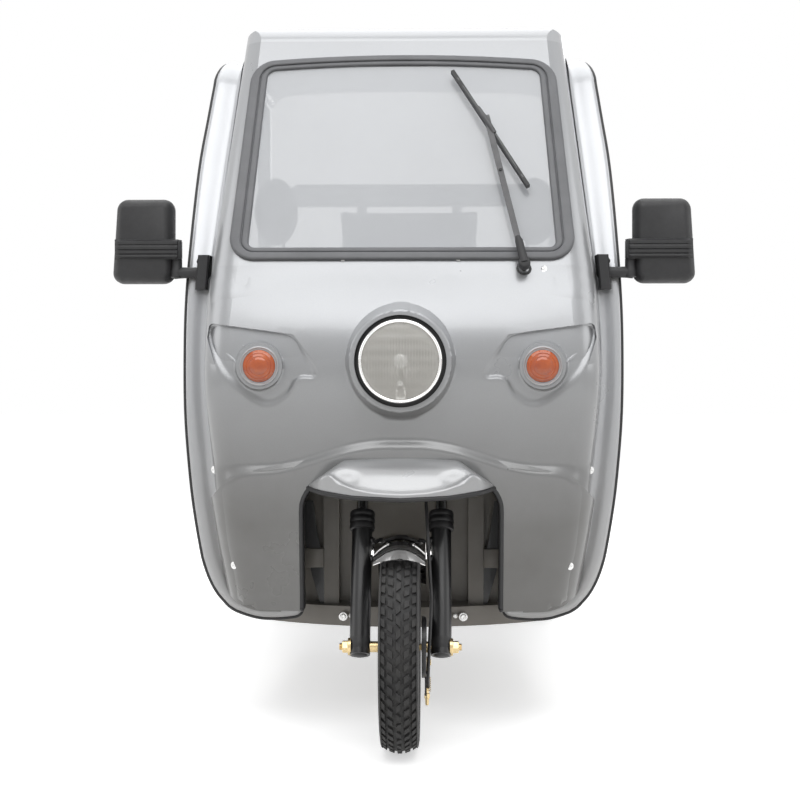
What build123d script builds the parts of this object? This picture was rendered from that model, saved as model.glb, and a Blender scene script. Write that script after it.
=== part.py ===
from build123d import *
import math
import os

# Electric cargo tricycle with a half-open driver's cab.
# Frame: millimetres, +Z up, ground at Z 0, the vehicle faces -Y and +X is the driver's left.
# "Station" is the distance behind the front axle, so Y = front_axle_y + station.

# Driving dimensions
overall_length = 2950.0
tyre_radius = 245.0
wheelbase = 2080.0
rear_wheel_x = 465.0
front_axle_y = tyre_radius - overall_length / 2
axle_z = tyre_radius
moving_gap = 5.0
pin_gap = 1.0
sheet = 4.0
overrun = 60.0
far = 800.0


def y_at(station):
    """Y of a place given as its distance behind the front axle."""
    return front_axle_y + station


def save(name, shape):
    """Writes one sub-part as its own STEP file."""
    shape.label = name
    export_step(shape, f"parts/{name}.step")


def block(x0, x1, s0, s1, z0, z1):
    """Box between two X, two stations and two Z."""
    centre = ((x0 + x1) / 2, y_at((s0 + s1) / 2), (z0 + z1) / 2)
    return Pos(*centre) * Box(abs(x1 - x0), abs(s1 - s0), abs(z1 - z0))


def both_sides(shape):
    """The shape and its mirror image on the other side of the vehicle."""
    return shape + mirror(shape, Plane.YZ)


def point(x, station, z):
    return Vector(x, y_at(station), z)


def rod(start, end, radius):
    """Round bar from start to end."""
    way = end - start
    return extrude(Plane(origin=start, z_dir=way) * Circle(radius), way.length)


def tube(start, end, radius, bore):
    return rod(start, end, radius) - rod(start, end, bore)


def cross_rod(x0, x1, station, z, radius):
    """Round bar along X."""
    return rod(point(x0, station, z), point(x1, station, z), radius)


def beam(start, end, width_x, depth):
    """Rectangular bar from start to end whose width lies along X."""
    way = end - start
    plane = Plane(origin=start, x_dir=(1, 0, 0), z_dir=way)
    return extrude(plane * Rectangle(width_x, depth), way.length)


def side_face(points):
    """Face in the side view from (station, Z) points joined by straight lines."""
    return make_face(Polyline(*[(0, y_at(s), z) for s, z in points], close=True))


def side_prism(face, x0, x1):
    """Side-view face extruded between two X."""
    return Pos(x0, 0, 0) * extrude(face, x1 - x0, dir=(1, 0, 0))


def front_prism(face, s0, s1):
    """Front-view face, drawn at Y 0, extruded between two stations."""
    return Pos(0, y_at(s0), 0) * extrude(face, s1 - s0, dir=(0, 1, 0))


# Cab body: plan sections with a front arc, two corner arcs and two side walls that spread
# to the rear, trimmed by the front view and the side view.
cab_wall = 5.0
cab_rear = 1260.0
cab_join_z = 1150.0
screen_rake_deg = 23.0
# Columns: Z, station of the front centre, half width at the corner, front arc radius
cab_sections = (
    (180.0, 134.0, 383.0, 2300.0),
    (330.0, 118.0, 412.0, 2300.0),
    (500.0, 92.0, 443.0, 2300.0),
    (700.0, 50.0, 466.0, 2300.0),
    (900.0, 0.0, 476.0, 2300.0),
    (1040.0, 30.0, 474.0, 2900.0),
    (cab_join_z, 92.0, 470.0, 7000.0),
)
cab_top_section = (1900.0, 405.0, 400.0, 7000.0)
cab_corner = 78.0
cab_spread = 0.14
# Front view of the wall: bottom, two side arcs, roof corner and crown
cab_bottom_z = 328.0
cab_bottom_half = 337.0
cab_bottom_round = 130.0
cab_bottom_turn_deg = 80.0
cab_belt = (501.0, 1156.0)
cab_eaves = (446.0, 1716.0)
roof_corner_radius = 75.0
roof_corner_turn_deg = 80.0
roof_crown_z = 1792.0
# Side view of the wall: raked screen plane, header round and roof line
screen_foot = (103.0, cab_join_z)
header_z = 1787.0
header_round = 60.0
roof_rise = 40.0
# Side opening behind the shell's edge
opening_points = ((235.0, 120.0), (270.0, 1120.0), (505.0, 1722.0), (1400.0, 1722.0))
opening_rounds = (400.0, 110.0)
flange_reach = 42.0
flange_thick = 5.0
trim_reach = 8.0
trim_thick = 9.0


def plan_section(z, front, half_width, front_arc, offset):
    """One closed plan section of the cab, grown outwards by offset."""
    arc_y = y_at(front) + front_arc
    corner_x = half_width - cab_corner
    corner_y = arc_y - math.sqrt((front_arc - cab_corner) ** 2 - corner_x**2)
    unit = Vector(corner_x, corner_y - arc_y).normalized()
    side = Vector(1, -cab_spread).normalized()
    middle = (unit + side).normalized()
    radius = cab_corner + offset
    centre = Vector(corner_x, corner_y)
    meet_front, corner_mid, meet_side = (centre + radius * way for way in (unit, middle, side))
    back_y = y_at(cab_rear)
    back = Vector(meet_side.X + cab_spread * (back_y - meet_side.Y), back_y)

    def at(spot, sign=1):
        return (sign * spot.X, spot.Y, z)

    edges = [
        Line(at(back, -1), at(meet_side, -1)),
        ThreePointArc(at(meet_side, -1), at(corner_mid, -1), at(meet_front, -1)),
        ThreePointArc(at(meet_front, -1), (0, y_at(front) - offset, z), at(meet_front)),
        ThreePointArc(at(meet_front), at(corner_mid), at(meet_side)),
        Line(at(meet_side), at(back)),
        Line(at(back), at(back, -1)),
    ]
    return make_face(Wire(edges))


def cab_front_view():
    """Front view of the cab's wall, as a face at Y 0."""
    bottom = Line((0, cab_bottom_z), (cab_bottom_half, cab_bottom_z))
    lower = JernArc(bottom @ 1, (1, 0), cab_bottom_round, cab_bottom_turn_deg)
    side = TangentArc(lower @ 1, cab_belt, tangent=lower % 1)
    upper = TangentArc(side @ 1, cab_eaves, tangent=side % 1)
    corner = JernArc(upper @ 1, upper % 1, roof_corner_radius, roof_corner_turn_deg)
    crown = TangentArc(corner @ 1, (0, roof_crown_z), tangent=corner % 1)
    half = Curve() + [bottom, lower, side, upper, corner, crown]
    outline = half + mirror(half, Plane.YZ)
    return Plane.XZ * make_face(outline)


def cab_side_view():
    """Side view of the cab's wall above its waist, with room to spare elsewhere."""
    lean = math.tan(math.radians(screen_rake_deg))
    header_s = screen_foot[0] + (header_z - screen_foot[1]) * lean
    points = [
        (-far, 0),
        (-far, screen_foot[1]),
        screen_foot,
        (header_s, header_z),
        (cab_rear + overrun, header_z + roof_rise),
        (cab_rear + overrun, 0),
    ]
    face = side_face(points)
    header = face.vertices().sort_by_distance(point(0, header_s, header_z))[0]
    return fillet(header, header_round)


front_view_face = cab_front_view()
side_view_face = cab_side_view()
grown_cabs = {}


def grown_face(face, amount):
    return offset(face, amount) if amount else face


def cab_grown(amount):
    """The filled cab body grown outwards by an amount, kept once made."""
    if amount not in grown_cabs:
        lower = loft([plan_section(*row, amount) for row in cab_sections])
        upper = loft([plan_section(*row, amount) for row in (cab_sections[-1], cab_top_section)])
        front = front_prism(grown_face(front_view_face, amount), -far, cab_rear + far)
        side = side_prism(grown_face(side_view_face, amount), -far, far)
        grown_cabs[amount] = (lower + upper) & front & side
    return grown_cabs[amount]


def opening_prism(amount):
    """Room behind the shell's edge, grown forwards and upwards by an amount."""
    face = side_face([*opening_points, (opening_points[-1][0], opening_points[0][1])])
    for (s, z), radius in zip(opening_points[1:3], opening_rounds):
        corner = face.vertices().sort_by_distance(point(0, s, z))[0]
        face = fillet(corner, radius)
    return side_prism(grown_face(face, amount), -far, far)


# Lower front: the skin below the moustache line stands proud of the rest
overlay_reach = 20.0
moustache_centre_z = 737.0
moustache_corner = (414.0, 583.0)
moustache_fall_deg = 68.0
moustache_station = 62.0
overlay_cap_z = (700.0, 640.0)


def overlay(amount, lower_by):
    """The cab grown by an amount and kept below the moustache line."""
    def under(centre_z, corner_x, corner_z):
        arc = ThreePointArc((-corner_x, 0, corner_z), (0, 0, centre_z), (corner_x, 0, corner_z))
        reach = arc.edges()[0]
        ends = [(far, 0, corner_z - (far - corner_x)), (far, 0, 0), (-far, 0, 0)]
        ends.append((-far, 0, ends[0][2]))
        return make_face(Curve() + [reach, Polyline(reach @ 1, *ends, reach @ 0)])

    corner_x, corner_z = moustache_corner
    slant = math.radians(moustache_fall_deg)
    way = Vector(0, -math.cos(slant), -math.sin(slant))
    face = under(moustache_centre_z - lower_by, corner_x, corner_z - lower_by)
    face = Pos(0, y_at(moustache_station), 0) * face
    slanted = extrude(face, far, dir=way) + extrude(face, far, dir=-way)
    cap = front_prism(
        under(overlay_cap_z[0] - lower_by, corner_x, overlay_cap_z[1] - lower_by), -far, far
    )
    return cab_grown(amount) & slanted & cap


# Wheel arch in the front shell
arch_half = 235.0
arch_top_z = 640.0
arch_top_round = 80.0
arch_foot_z = 400.0
arch_foot_flare = 60.0


def arch_face():
    top = arch_top_z
    points = [
        (-arch_half - arch_foot_flare, 0, 0),
        (-arch_half - arch_foot_flare, 0, cab_bottom_z),
        (-arch_half, 0, arch_foot_z),
        (-arch_half, 0, top),
        (arch_half, 0, top),
        (arch_half, 0, arch_foot_z),
        (arch_half + arch_foot_flare, 0, cab_bottom_z),
        (arch_half + arch_foot_flare, 0, 0),
    ]
    face = make_face(Polyline(*points, close=True))
    tops = [v for v in face.vertices() if v.Z > top - 1]
    face = fillet(tops, arch_top_round)
    bends = [v for v in face.vertices() if abs(v.Z - arch_foot_z) < 1]
    return fillet(bends, arch_top_round)


# Eye-shaped recess around each indicator
eye_points = (
    (462.0, 1010.0), (254.0, 981.0), (191.0, 899.0), (199.0, 870.0), (244.0, 880.0),
    (268.0, 825.0), (310.0, 801.0), (355.0, 813.0), (437.0, 889.0), (468.0, 975.0),
)
eye_round = 12.0
eye_depth = 10.0

# Headlamp and indicators
lamp_z = 917.0
lamp_lens_radius = 92.0
lamp_ring_radius = 99.5
lamp_hole_radius = 108.0
lamp_boss_radius = 134.0
lamp_boss_front_radius = 121.0
lamp_boss_front = -26.0
lamp_front = -34.0
lamp_back = 70.0
lamp_wall = 4.0
lens_bulge = 16.0
indicator_x, indicator_z = 334.0, 906.0
indicator_radius = 40.0
indicator_ring_radius = 54.5
indicator_ring_front = 8.0
indicator_seat = 24.0
indicator_front = -2.0
indicator_round = 9.0

# Windscreen on the raked plane
screen_z = (1162.0, 1702.0)
gasket_half = (410.5, 373.0)
gasket_rounds = (60.0, 70.0)
gasket_band = 40.0
gasket_neck = (18.0, 30.0)
gasket_proud = 9.0
glass_thick = 5.0
screen_angle = math.radians(screen_rake_deg)
screen_up = Vector(0, math.sin(screen_angle), math.cos(screen_angle))
screen_out = Vector(0, -math.cos(screen_angle), math.sin(screen_angle))


def screen_place(x, z, out=0.0):
    """Point at height z on the raked plane, moved outwards by out."""
    up = (z - screen_foot[1]) / screen_up.Z
    return point(x, *screen_foot) + screen_up * up + screen_out * out


screen_plane = Plane(origin=screen_place(0, screen_z[0]), x_dir=(1, 0, 0), z_dir=screen_out)


def screen_slab(inset, low, high):
    """Slab with the windscreen's outline made smaller by inset, between two heights off the plane."""
    height = (screen_z[1] - screen_z[0]) / screen_up.Z
    (bottom, top), (round_low, round_high) = gasket_half, gasket_rounds
    face = make_face(Polyline((-bottom, 0), (bottom, 0), (top, height), (-top, height), close=True))
    lows = [v for v in face.vertices() if v.Y < height / 2]
    face = fillet(lows, round_low)
    highs = [v for v in face.vertices() if v.Y > height - 1]
    face = fillet(highs, round_high)
    face = grown_face(face, -inset)
    return screen_plane * (Pos(0, 0, low) * extrude(face, high - low))


header_crease_z = 1746.0
roof_seam = 620.0
rib_width = 44.0
rib_height = 8.0
rib_span = (455.0, 1235.0)
rib_pitch = 110.0
rib_places = [rib_pitch * i for i in range(-3, 4)]

def build_cab():
    """Front shell, roof, screen, lamps and the trims on the shell's edges."""
    opening = opening_prism(0)
    arch = front_prism(arch_face(), -far, cab_rear)
    inner = -cab_wall
    skin_out = cab_grown(0) + overlay(overlay_reach, 0)
    skin_in = cab_grown(inner) + overlay(overlay_reach - cab_wall, 3 * cab_wall)
    flange = (cab_grown(flange_reach) - skin_in) & (opening_prism(flange_thick) - opening)
    shell = (skin_out - skin_in - opening) + flange - arch

    eye = make_face(Polyline(*[(x, 0, z) for x, z in eye_points], close=True))
    eye = fillet(eye.vertices(), eye_round)
    reach = cab_rear / 3
    eyes = both_sides(front_prism(eye, -far, reach))
    eyes_wide = both_sides(front_prism(offset(eye, cab_wall), -far, reach))
    floor_of_eye = eyes_wide & (cab_grown(inner) - cab_grown(inner - eye_depth))
    floor_of_eye -= opening
    shell = (shell - (eyes - cab_grown(-eye_depth))) + (floor_of_eye - (eyes - cab_grown(-eye_depth)))

    boss = Cone(lamp_boss_radius, lamp_boss_front_radius, lamp_boss_radius)
    boss = Plane(origin=point(0, lamp_boss_front + lamp_boss_radius, lamp_z), z_dir=(0, -1, 0)) * boss
    shell += boss - cab_grown(-1)
    shell -= cross_hole(0, lamp_z, lamp_hole_radius)
    ring = Plane(origin=point(indicator_x, indicator_ring_front, indicator_z), z_dir=(0, 1, 0))
    ring = ring * Cylinder(indicator_ring_radius, far / 4, align=(Align.CENTER, Align.CENTER, Align.MIN))
    seat = Plane(origin=point(indicator_x, -far, indicator_z), z_dir=(0, 1, 0))
    seat = seat * Cylinder(
        indicator_radius, far + indicator_seat, align=(Align.CENTER, Align.CENTER, Align.MIN)
    )
    shell += both_sides(ring - cab_grown(inner - eye_depth / 2))
    shell -= both_sides(seat)
    aperture = screen_slab(gasket_neck[0], -overrun, overrun)
    shell -= aperture

    roof_box = block(-far, far, -far, cab_rear + far, header_crease_z, far * 3)
    roof_box += block(-far, far, roof_seam, cab_rear + far, cab_eaves[1] - far / 4, far * 3)
    roof = shell & roof_box
    front = shell - roof_box
    ribs = [
        block(x - rib_width / 2, x + rib_width / 2, *rib_span, roof_crown_z - far / 10, far * 3)
        for x in rib_places
    ]
    ribs = Compound(children=[fillet(b.edges().filter_by(Axis.Z), rib_width / 2.1) for b in ribs])
    rib_body = cab_grown(rib_height) - cab_grown(-1)
    roof = roof + (rib_body & ribs)
    return front, roof, opening, arch


def cross_hole(x, z, radius):
    """Round bar along Y that runs right through the front."""
    start = Plane(origin=point(x, -far, z), z_dir=(0, 1, 0))
    return start * Cylinder(radius, far + far / 4, align=(Align.CENTER, Align.CENTER, Align.MIN))



# Rubber trims on the shell's edges
def build_edge_trim(opening, arch):
    spare = (trim_thick - flange_thick) / 2
    strip = opening_prism(flange_thick + spare) - opening_prism(-spare)
    return ((cab_grown(flange_reach + trim_reach) - cab_grown(flange_reach)) & strip) - arch


# Hood over the fork: a domed sheet that stands out of the shell
hood_half = 212.0
hood_lip = (-45.0, 595.0)
hood_brow = (6.0, 656.0)
hood_top = (82.0, 690.0)
hood_shoulder = 110.0
hood_edge_z = 622.0
hood_wall = 4.0
hood_trim = 9.0


def hood_body(inset, low_z):
    """Filled hood, made smaller by inset, down to a height."""
    half, top, edge = hood_half - inset, hood_top[1] - inset, hood_edge_z
    shoulder = hood_shoulder
    bow_x, bow_z = (half + shoulder) / 2 + inset + hood_edge_z / 40, (edge + top) / 2 + edge / 40
    right = [
        Line((0, 0, low_z), (half, 0, low_z)),
        Line((half, 0, low_z), (half, 0, edge)),
        ThreePointArc((half, 0, edge), (bow_x - inset, 0, bow_z), (shoulder, 0, top)),
        Line((shoulder, 0, top), (0, 0, top)),
    ]
    half_view = Curve() + right
    outline = half_view + mirror(half_view, Plane.YZ)
    front = front_prism(make_face(outline), hood_lip[0], cab_rear / 4)
    (lip_s, lip_z), (brow_s, brow_z), (top_s, top_z) = hood_lip, hood_brow, hood_top
    lip = (0, y_at(lip_s + inset), lip_z + hood_trim)
    brow = (0, y_at(brow_s + inset), brow_z - inset)
    crest = (0, y_at(top_s), top_z - inset)
    back = y_at(far / 2)
    edges = [
        Line((0, lip[1], low_z), lip),
        ThreePointArc(lip, brow, crest),
        Line(crest, (0, back, crest[2])),
        Line((0, back, crest[2]), (0, back, low_z)),
        Line((0, back, low_z), (0, lip[1], low_z)),
    ]
    return front & side_prism(make_face(Wire(edges)), -far, far)


def build_hood():
    outside = cab_grown(overlay_reach)
    lip_z = hood_lip[1]
    hood = hood_body(0, lip_z) - hood_body(hood_wall, lip_z - overrun) - outside
    trim = hood_body(0, lip_z - hood_trim) - hood_body(hood_wall, lip_z - overrun)
    return hood, (trim & block(-far, far, -far, far, 0, lip_z)) - outside


# Lamps
def disc(x, z, s0, s1, radius):
    """Round bar along Y between two stations."""
    return rod(point(x, s0, z), point(x, s1, z), radius)


def build_lamps():
    body = disc(0, lamp_z, lamp_front, lamp_back, lamp_ring_radius)
    body = fillet(body.edges().group_by(Axis.Y)[-1], lamp_wall)
    body += disc(0, lamp_z, 0, sheet, lamp_hole_radius)
    body -= disc(0, lamp_z, -far, lamp_back - 2 * sheet, lamp_lens_radius)
    lens = disc(0, lamp_z, lamp_front, lamp_front + lamp_wall, lamp_lens_radius)
    dome_radius = (lamp_lens_radius**2 + lens_bulge**2) / (2 * lens_bulge)
    centre = Pos(*point(0, lamp_front - lens_bulge + dome_radius, lamp_z))
    dome = centre * Sphere(dome_radius) - centre * Sphere(dome_radius - lamp_wall)
    lens += dome & disc(0, lamp_z, lamp_front - far, lamp_front + lamp_wall, lamp_lens_radius)
    amber = disc(indicator_x, indicator_z, indicator_front, indicator_seat, indicator_radius)
    amber = fillet(amber.edges().group_by(Axis.Y)[0], indicator_round)
    return body, lens, both_sides(amber)


# Windscreen glass, its gasket and the wiper
wiper_pivot = (294.0, 1139.0)
wiper_tip = (209.0, 1520.0)
wiper_blade_ends = ((125.0, 1646.0), (309.0, 1338.0))
wiper_lift = gasket_proud + moving_gap
wiper_arm_out = 34.0
wiper_arm_width = 14.0
wiper_post_radius = 13.0
wiper_blade_width = 9.0
wiper_blade_tall = 14.0


def build_screen():
    glass = screen_slab(gasket_neck[1], -glass_thick, 0)
    lip = screen_slab(0, 0, gasket_proud) - screen_slab(gasket_band, -overrun, overrun)
    neck = screen_slab(gasket_neck[0], -2 * glass_thick, 0)
    neck -= screen_slab(gasket_neck[1], -overrun, overrun)
    outer_face = lip.faces().sort_by(Axis(screen_plane.origin, screen_out))[-1]
    lip = fillet(outer_face.edges(), gasket_proud / 3)
    return glass, lip + neck


def screen_bar(ends, low, high, width):
    """Flat bar parallel to the windscreen, between two heights off it."""
    start, end = [screen_place(x, z, (low + high) / 2) for x, z in ends]
    plane = Plane(origin=start, x_dir=screen_out, z_dir=end - start)
    return extrude(plane * Rectangle(high - low, width), (end - start).length)


def build_wiper():
    top = wiper_lift + wiper_blade_tall
    post = rod(
        screen_place(*wiper_pivot, top - sheet), screen_place(*wiper_pivot, wiper_arm_out),
        wiper_post_radius,
    )
    spindle = rod(
        screen_place(*wiper_pivot, -4 * cab_wall), screen_place(*wiper_pivot, top - sheet - pin_gap),
        wiper_post_radius / 2,
    )
    arm = screen_bar((wiper_pivot, wiper_tip), top, wiper_arm_out, wiper_arm_width)
    blade = screen_bar(wiper_blade_ends, wiper_lift, top, wiper_blade_width)
    return post + arm, spindle, blade


# Door mirrors on arms from the shell's flange
mirror_centre = (620.0, 300.0, 1172.0)
mirror_size = (160.0, 52.0, 215.0)
mirror_root_x = 535.0
mirror_arm_half = (12.0, 14.0)


def build_door_mirrors(opening):
    x, s, z = mirror_centre
    wide, deep, tall = mirror_size
    back = s + deep / 2
    housing = block(x - wide / 2, x + wide / 2, s - deep / 2, back, z - tall / 2, z + tall / 2)
    housing = fillet(housing.edges().filter_by(Axis.Y), wide / 4)
    housing = fillet(housing.faces().sort_by(Axis.Y)[0].edges(), deep / 3)
    half, high = wide / 2 - 2 * sheet, tall / 2 - 2 * sheet
    glass = block(x - half, x + half, back - sheet, back, z - high, z + high)
    glass = fillet(glass.edges().filter_by(Axis.Y), wide / 5)
    arm_s, arm_z = mirror_arm_half
    arm = block(mirror_root_x, x - wide / 2, s - arm_s, s + arm_s, z - arm_z, z + arm_z)
    arm -= cab_grown(flange_reach + trim_reach)
    arm += block(mirror_root_x, x - wide / 2, s - arm_s, s + arm_s, z - arm_z, z + arm_z) & opening
    return both_sides(housing - glass), both_sides(glass), both_sides(arm)


# Ladder frame: front rails, risers, rear rails, cross members, steering head and its posts
rail_x = 250.0
rail_width = 40.0
front_rail_z = (245.0, 290.0)
front_rail_start = 350.0
riser_s = (1215.0, 1255.0)
rear_rail_z = (495.0, 575.0)
rear_rail_end = 2650.0
post_x, post_half = 187.0, 20.0
post_s = (350.0, 400.0)
post_top = 745.0
cross_s = (1700.0, 2080.0, 2600.0)
cross_width = 40.0
rear_post_x = (440.0, 480.0)
rear_post_s = (1220.0, 1258.0)
rake_deg = 25.0
axis_offset = 35.0
rake = math.radians(rake_deg)
leg_up = Vector(0, math.sin(rake), math.cos(rake))
leg_back = Vector(0, math.cos(rake), -math.sin(rake))
head_span = (458.0, 618.0)
head_radius, head_bore = 30.0, 17.0


def leg_place(x, along, back=0.0):
    """Point beside the front axle, moved along the fork legs and backwards square to them."""
    return point(x, 0, axle_z) + leg_up * along + leg_back * back


def build_chassis():
    inner, outer = rail_x - rail_width / 2, rail_x + rail_width / 2
    low, high = front_rail_z
    rail_low, rail_high = rear_rail_z
    front_s, rear_s = riser_s
    side = block(inner, outer, front_rail_start, rear_s, low, high)
    side += block(inner, outer, front_s, rear_s, low, rail_high)
    side += block(inner, outer, front_s, rear_rail_end, rail_low, rail_high)
    side += block(post_x - post_half, post_x + post_half, *post_s, high, post_top)
    frame = both_sides(side)
    frame += block(-outer, outer, front_rail_start, front_rail_start + cross_width, low, high)
    reach = rear_post_x[1]
    frame += block(-reach, reach, front_s, rear_s, low, high)
    reach = rear_post_x[0]
    frame += block(-reach, reach, front_s, rear_s, rail_low, rail_high)
    for s in cross_s:
        frame += block(-inner, inner, s - cross_width / 2, s + cross_width / 2, rail_low, rail_high)
    head_low, head_high = (leg_place(0, along, axis_offset) for along in head_span)
    neck_z = post_top - cross_width
    frame += block(-post_x, post_x, *post_s, neck_z, post_top)
    middle = leg_place(0, sum(head_span) / 2, axis_offset)
    middle_s = middle.Y - front_axle_y
    neck = block(-head_bore - sheet, head_bore + sheet, middle_s, post_s[0], neck_z, post_top)
    frame += neck
    for sign in (-1, 1):
        start = point(sign * post_x, sum(post_s) / 2, neck_z - cross_width)
        frame += rod(start, point(0, middle_s + head_radius, neck_z + cross_width / 2), cross_width / 3)
    frame += rod(head_low, head_high, head_radius)
    frame -= rod(head_low - leg_up * overrun, head_high + leg_up * overrun, head_bore)
    return frame


# Floor, bulkhead and dash inside the cab
floor_points = ((430.0, 1215.0), (430.0, 520.0), (345.0, 385.0))
floor_nose = 285.0
floor_thick = 4.0
floor_skirt_z = 244.0
bulkhead_s = post_s[1]
bulkhead_top = 900.0
liner_start = 205.0
liner_low = 345.0
fold_width, fold_depth = 26.0, 12.0
fold_places = (-330.0, -240.0, -130.0, -44.0, 44.0, 130.0, 240.0, 330.0)
dash_z = 1030.0
dash_rear = 300.0
dash_lip = 56.0


def floor_face(inset):
    (x0, s0), (x1, s1), (x2, s2) = floor_points
    edges = [
        Line((x0, y_at(s0)), (x1, y_at(s1))),
        Line((x1, y_at(s1)), (x2, y_at(s2))),
        ThreePointArc((x2, y_at(s2)), (0, y_at(floor_nose)), (-x2, y_at(s2))),
        Line((-x2, y_at(s2)), (-x1, y_at(s1))),
        Line((-x1, y_at(s1)), (-x0, y_at(s0))),
        Line((-x0, y_at(s0)), (x0, y_at(s0))),
    ]
    return grown_face(make_face(Wire(edges)), -inset)


def build_floor():
    top = front_rail_z[1]
    plate = Pos(0, 0, top) * extrude(floor_face(0), floor_thick)
    skirt = floor_face(0) - floor_face(floor_thick)
    rear = Pos(0, y_at(floor_points[0][1]), 0) * Rectangle(2 * far, 4 * floor_thick)
    skirt -= rear
    plate += Pos(0, 0, floor_skirt_z) * extrude(skirt, top - floor_skirt_z)
    plate -= both_sides(block(post_x - post_half, post_x + post_half, *post_s, 0, far))
    return plate


def build_bulkhead():
    low = front_rail_z[1] + floor_thick
    back = bulkhead_s + sheet
    wall = block(-far, far, bulkhead_s, back, cab_bottom_z + cab_wall, bulkhead_top)
    wall &= cab_grown(-cab_wall)
    foot_x = floor_points[2][0]
    wall += block(-foot_x, foot_x, bulkhead_s, back, low, cab_bottom_z + 2 * cab_wall)
    liner = (cab_grown(-cab_wall) - cab_grown(-cab_wall - sheet))
    wall += liner & block(-far, far, liner_start, back, liner_low, bulkhead_top)
    for x in fold_places:
        half = fold_width / 2
        wall += block(x - half, x + half, back, back + fold_depth, low + fold_width, bulkhead_top)
    return wall


def build_dash():
    inside = cab_grown(-cab_wall) & block(-far, far, -far, dash_rear, 0, far * 2)
    shelf = inside & block(-far, far, -far, dash_rear, dash_z, dash_z + sheet)
    low = dash_z - dash_lip
    lip = inside & block(-far, far, dash_rear - sheet, dash_rear, low, dash_z)
    return shelf + lip


# Seat, its box and the hoop behind it
seat_half = 240.0
seat_s = (870.0, 1205.0)
seat_box_top = 690.0
cushion_half, cushion_front, cushion_tall = 235.0, 850.0, 80.0
back_half, back_thick, back_z = 235.0, 55.0, (1050.0, 1419.0)
hoop_tall = 70.0
hoop_flat, hoop_drop = 360.0, 74.0
hoop_s = (1220.0, 1245.0)
stay_x, stay_half = 150.0, 16.0
seat_round = 24.0


def build_seat():
    low = front_rail_z[1] + floor_thick
    box = block(-seat_half, seat_half, *seat_s, low, seat_box_top)
    box = fillet(box.edges().filter_by(Axis.Z), seat_round / 2)
    wall = 2 * sheet / 2
    box -= block(-seat_half + wall, seat_half - wall, seat_s[0] + wall, seat_s[1] - wall, 0, seat_box_top - wall)
    cushion = block(-cushion_half, cushion_half, cushion_front, seat_s[1], seat_box_top,
                    seat_box_top + cushion_tall)
    cushion = fillet(cushion.edges(), seat_round)
    back = block(-back_half, back_half, hoop_s[0] - back_thick, hoop_s[0], *back_z)
    back = fillet(back.edges(), seat_round)
    return box, cushion, back


def build_hoop():
    low = rear_rail_z[1]
    posts = both_sides(block(*rear_post_x, *rear_post_s, front_rail_z[1], opening_points[2][1]))
    high = back_z[1] + hoop_tall
    end_x = rear_post_x[0]
    outline = [
        (end_x, high - hoop_drop), (hoop_flat, high), (-hoop_flat, high), (-end_x, high - hoop_drop),
        (-end_x, back_z[1] - hoop_drop), (-hoop_flat, back_z[1]), (hoop_flat, back_z[1]),
        (end_x, back_z[1] - hoop_drop),
    ]
    face = make_face(Polyline(*[(x, 0, z) for x, z in outline], close=True))
    bar = front_prism(face, *hoop_s)
    stays = both_sides(block(stay_x - stay_half, stay_x + stay_half, *hoop_s, low, back_z[1]))
    return posts + bar + stays


# Cargo bed with its headboard and ribs, and the tailgate on knuckles
bed_s = (1290.0, 2655.0)
bed_half = 525.0
bed_z = (596.0, 600.0)
bed_top = 895.0
bed_sheet = 4.0
bed_post = 25.0
bed_rib_pitch = 220.0
bed_cap = (28.0, 26.0)
hinge_s, hinge_z = 2694.0, 588.0
knuckle_radius, knuckle_pin = 7.0, 3.5
gate_s = (2662.0, 2687.0)
gate_z = (606.0, 895.0)
gate_half = 522.0
gate_rib = 18.0
knuckle_x = (-400.0, 0.0, 400.0)
knuckle_long = 36.0
bolt_hole_radius = 5.5
bed_bolt_x, bed_bolt_s = 360.0, (1440.0, 2520.0)


def build_bed():
    front, rear = bed_s
    low, floor_top = bed_z
    bed = block(-bed_half, bed_half, front, rear, low, floor_top)
    half = bed_half - bed_post
    wall = block(half, half + bed_sheet, front, rear, floor_top, bed_top)
    cap_wide, cap_tall = bed_cap
    wall += block(bed_half - cap_wide, bed_half, front, rear, bed_top - cap_tall, bed_top)
    wall += block(half, bed_half, front, rear, floor_top, floor_top + cap_tall)
    count = round((rear - front) / bed_rib_pitch)
    step = (rear - front - cap_tall) / count
    for i in range(count + 1):
        s = front + i * step
        wall += block(half, bed_half, s, s + cap_tall, floor_top, bed_top)
    bed += both_sides(wall)
    bed += block(-half, half, front, front + bed_sheet, floor_top, bed_top)
    bed += block(-half, half, front, front + cap_wide, bed_top - cap_tall, bed_top)
    for i in range(count + 1):
        s = front + i * step
        bed += block(-bed_half, bed_half, s, s + cap_tall, rear_rail_z[1], low)
    for x in knuckle_x:
        for sign in (-1, 1):
            mid = x + sign * knuckle_long
            half_long = knuckle_long / 2 - pin_gap
            arm = block(mid - half_long, mid + half_long, rear - cap_tall, hinge_s, hinge_z - knuckle_radius,
                        hinge_z + knuckle_radius)
            arm += cross_rod(mid - half_long, mid + half_long, hinge_s, hinge_z, knuckle_radius)
            bed += arm
    bed -= cross_rod(-far, far, hinge_s, hinge_z, knuckle_pin)
    for x in (-bed_bolt_x, bed_bolt_x):
        for s in bed_bolt_s:
            bed -= rod(point(x, s, 0), point(x, s, far), bolt_hole_radius)
    return bed


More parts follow.
